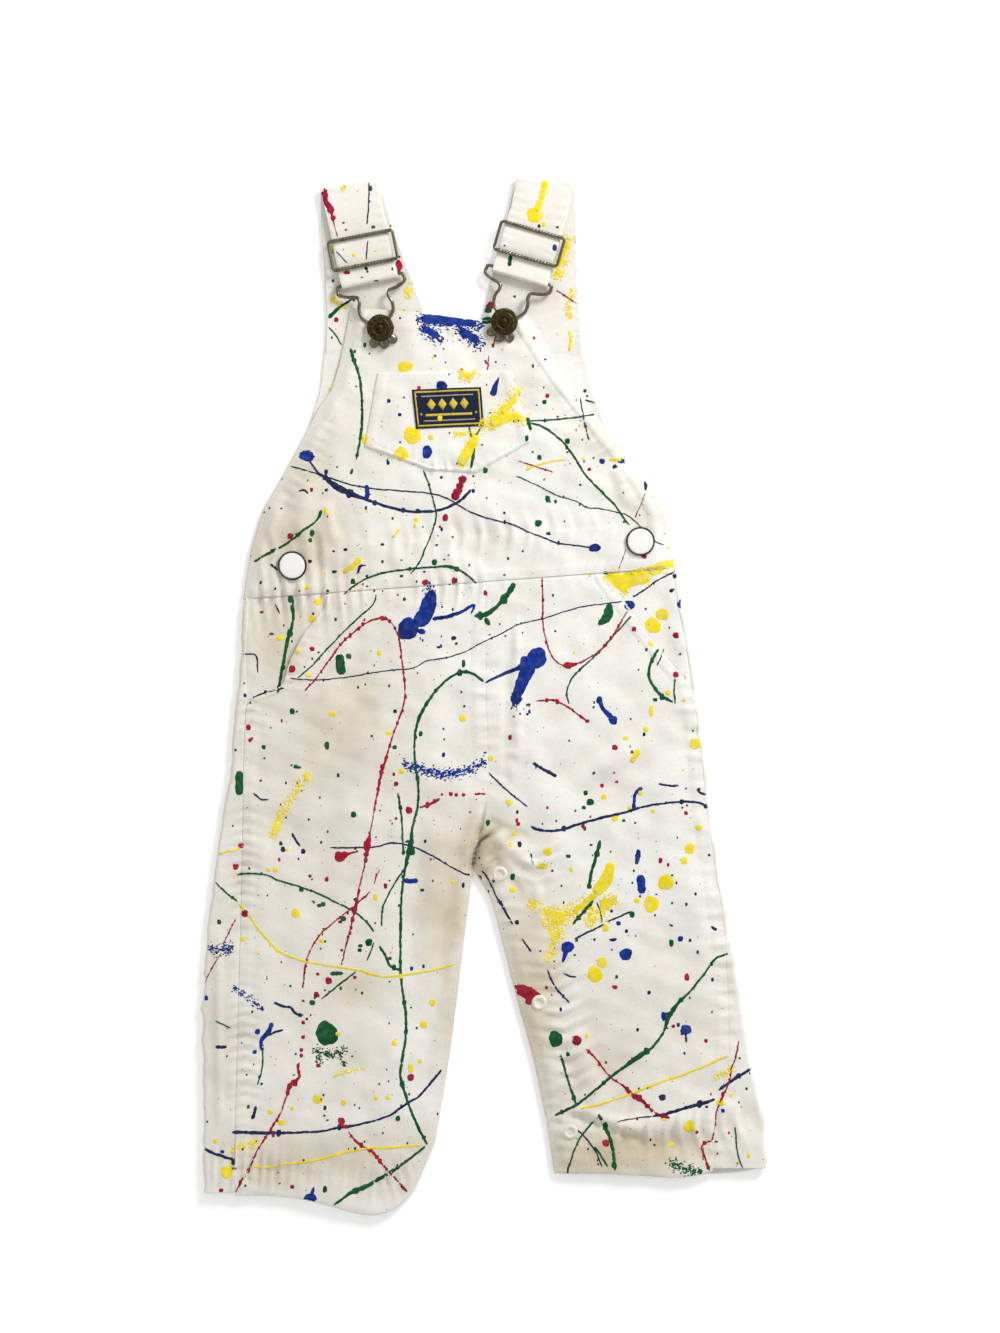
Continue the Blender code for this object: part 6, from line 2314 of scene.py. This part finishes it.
class OVERALLS_OT_buttons(bpy.types.Operator):
    """Make the bib's tack buttons, the side buttons and the placket's snaps"""

    bl_idname = "overalls.buttons"
    bl_label = "Buttons and Snaps"

    def execute(self, context):
        tree = draped_on(CLOTH_PIECES)
        for side in SIDES:
            node = f"bib_button_{side}"
            spot = FRONT_STRAP[side]["button"][:2]
            brass = ("antique brass", "antique_brass")
            turned(f"{node}_cap", TACK_BUTTON, spot, ON_FRONT_Z, *brass, [node], ripples=36, sides=144)
            node = f"side_button_{side}"
            spot = SIDE_BUTTONS[side]
            z = rest_height(tree, spot, SIDE_BUTTON_RADIUS)
            turned(f"{node}_rim", SIDE_RIM, spot, z, "blackened nickel", "nickel", [node])
            turned(f"{node}_face", SIDE_FACE, spot, z, "white enamel", "snap_white")
        for number, snap in enumerate(SNAPS, 1):
            spot = (snap.x, snap.y)
            z = rest_height(tree, spot, SNAP_RADIUS) - snap.sunk
            turned(f"snap_{number}_ring", SNAP, spot, z, "cream enamel", "snap_white", [f"snap_{number}"])
        return {"FINISHED"}


class OVERALLS_OT_stitching(bpy.types.Operator):
    """Sew all the rows of stitching"""

    bl_idname = "overalls.stitching"
    bl_label = "Stitching"

    def execute(self, context):
        tree = draped_on(CLOTH_PIECES)
        parts = [stitches(stitch_lines(), tree), stitches(under_lines(), tree, under=True)]
        stitching_piece("stitching", parts)
        return {"FINISHED"}


class OVERALLS_OT_paint(bpy.types.Operator):
    """Spatter the paints over the front and the back"""

    bl_idname = "overalls.paint"
    bl_label = "Paint"

    def execute(self, context):
        paint = settings("paint")
        thickness = paint.thickness / MM + PAINT_UNDER
        tree = draped_on(CLOTH_PIECES)
        rng = np.random.default_rng(paint.seed)
        for name, coat in COATS.items():
            marks = FRONT_MARKS[name]
            near = [point[:2] for run in marks.runs for point in run[1:]]
            amount = paint.specks * coat.share
            front = paint_film(rng, coat, marks, round(amount), near)
            back = paint_film(rng, coat, BACK_MARKS[name], round(BACK_SPECKS * amount), near)
            parts = [front.drop_on(tree), back.drop_on(tree, under=True)]
            film_piece(f"paint_{name}", parts, thickness, f"dried {name} acrylic")
        return {"FINISHED"}


class OVERALLS_OT_stage(bpy.types.Operator):
    """Set the camera, the lights and the surface"""

    bl_idname = "overalls.stage"
    bl_label = "Stage"

    def execute(self, context):
        stage = settings("stage")
        context.scene.view_settings.view_transform = "Standard"
        lay_camera(stage)
        lay_lights(stage)
        lay_surface()
        return {"FINISHED"}


MAKERS = (
    OVERALLS_OT_stage,
    OVERALLS_OT_back,
    OVERALLS_OT_front,
    OVERALLS_OT_pocket,
    OVERALLS_OT_straps,
    OVERALLS_OT_buckles,
    OVERALLS_OT_buttons,
    OVERALLS_OT_stitching,
    OVERALLS_OT_paint,
)


class VIEW3D_PT_overalls(bpy.types.Panel):
    """The pieces and their settings"""

    bl_label = "Bib Overalls"
    bl_space_type = "VIEW_3D"
    bl_region_type = "UI"
    bl_category = "Overalls"

    def draw(self, context):
        for maker in MAKERS:
            self.layout.operator(maker.bl_idname)
        for name, group in GROUPS.items():
            box = self.layout.box()
            box.label(text=name.title())
            for key in group.__annotations__:
                box.prop(getattr(context.scene.overalls, name), key)


def register():
    """Adds the settings, the operators and the panel."""
    for name, group in GROUPS.items():
        bpy.utils.register_class(group)
        pointer = PointerProperty(name=name.title(), description=group.__doc__, type=group)
        OverallsSettings.__annotations__[name] = pointer
    for made in (OverallsSettings, *MAKERS, VIEW3D_PT_overalls):
        bpy.utils.register_class(made)
    whole = PointerProperty(name="Overalls", description="Bib overalls", type=OverallsSettings)
    bpy.types.Scene.overalls = whole


def unregister():
    """Takes them away again."""
    del bpy.types.Scene.overalls
    for made in (VIEW3D_PT_overalls, *reversed(MAKERS), OverallsSettings, *GROUPS.values()):
        bpy.utils.unregister_class(made)


def main():
    """Makes the stage and the garment."""
    register()
    for maker in MAKERS:
        group, name = maker.bl_idname.split(".")
        getattr(getattr(bpy.ops, group), name)()


if __name__ == "__main__":
    main()
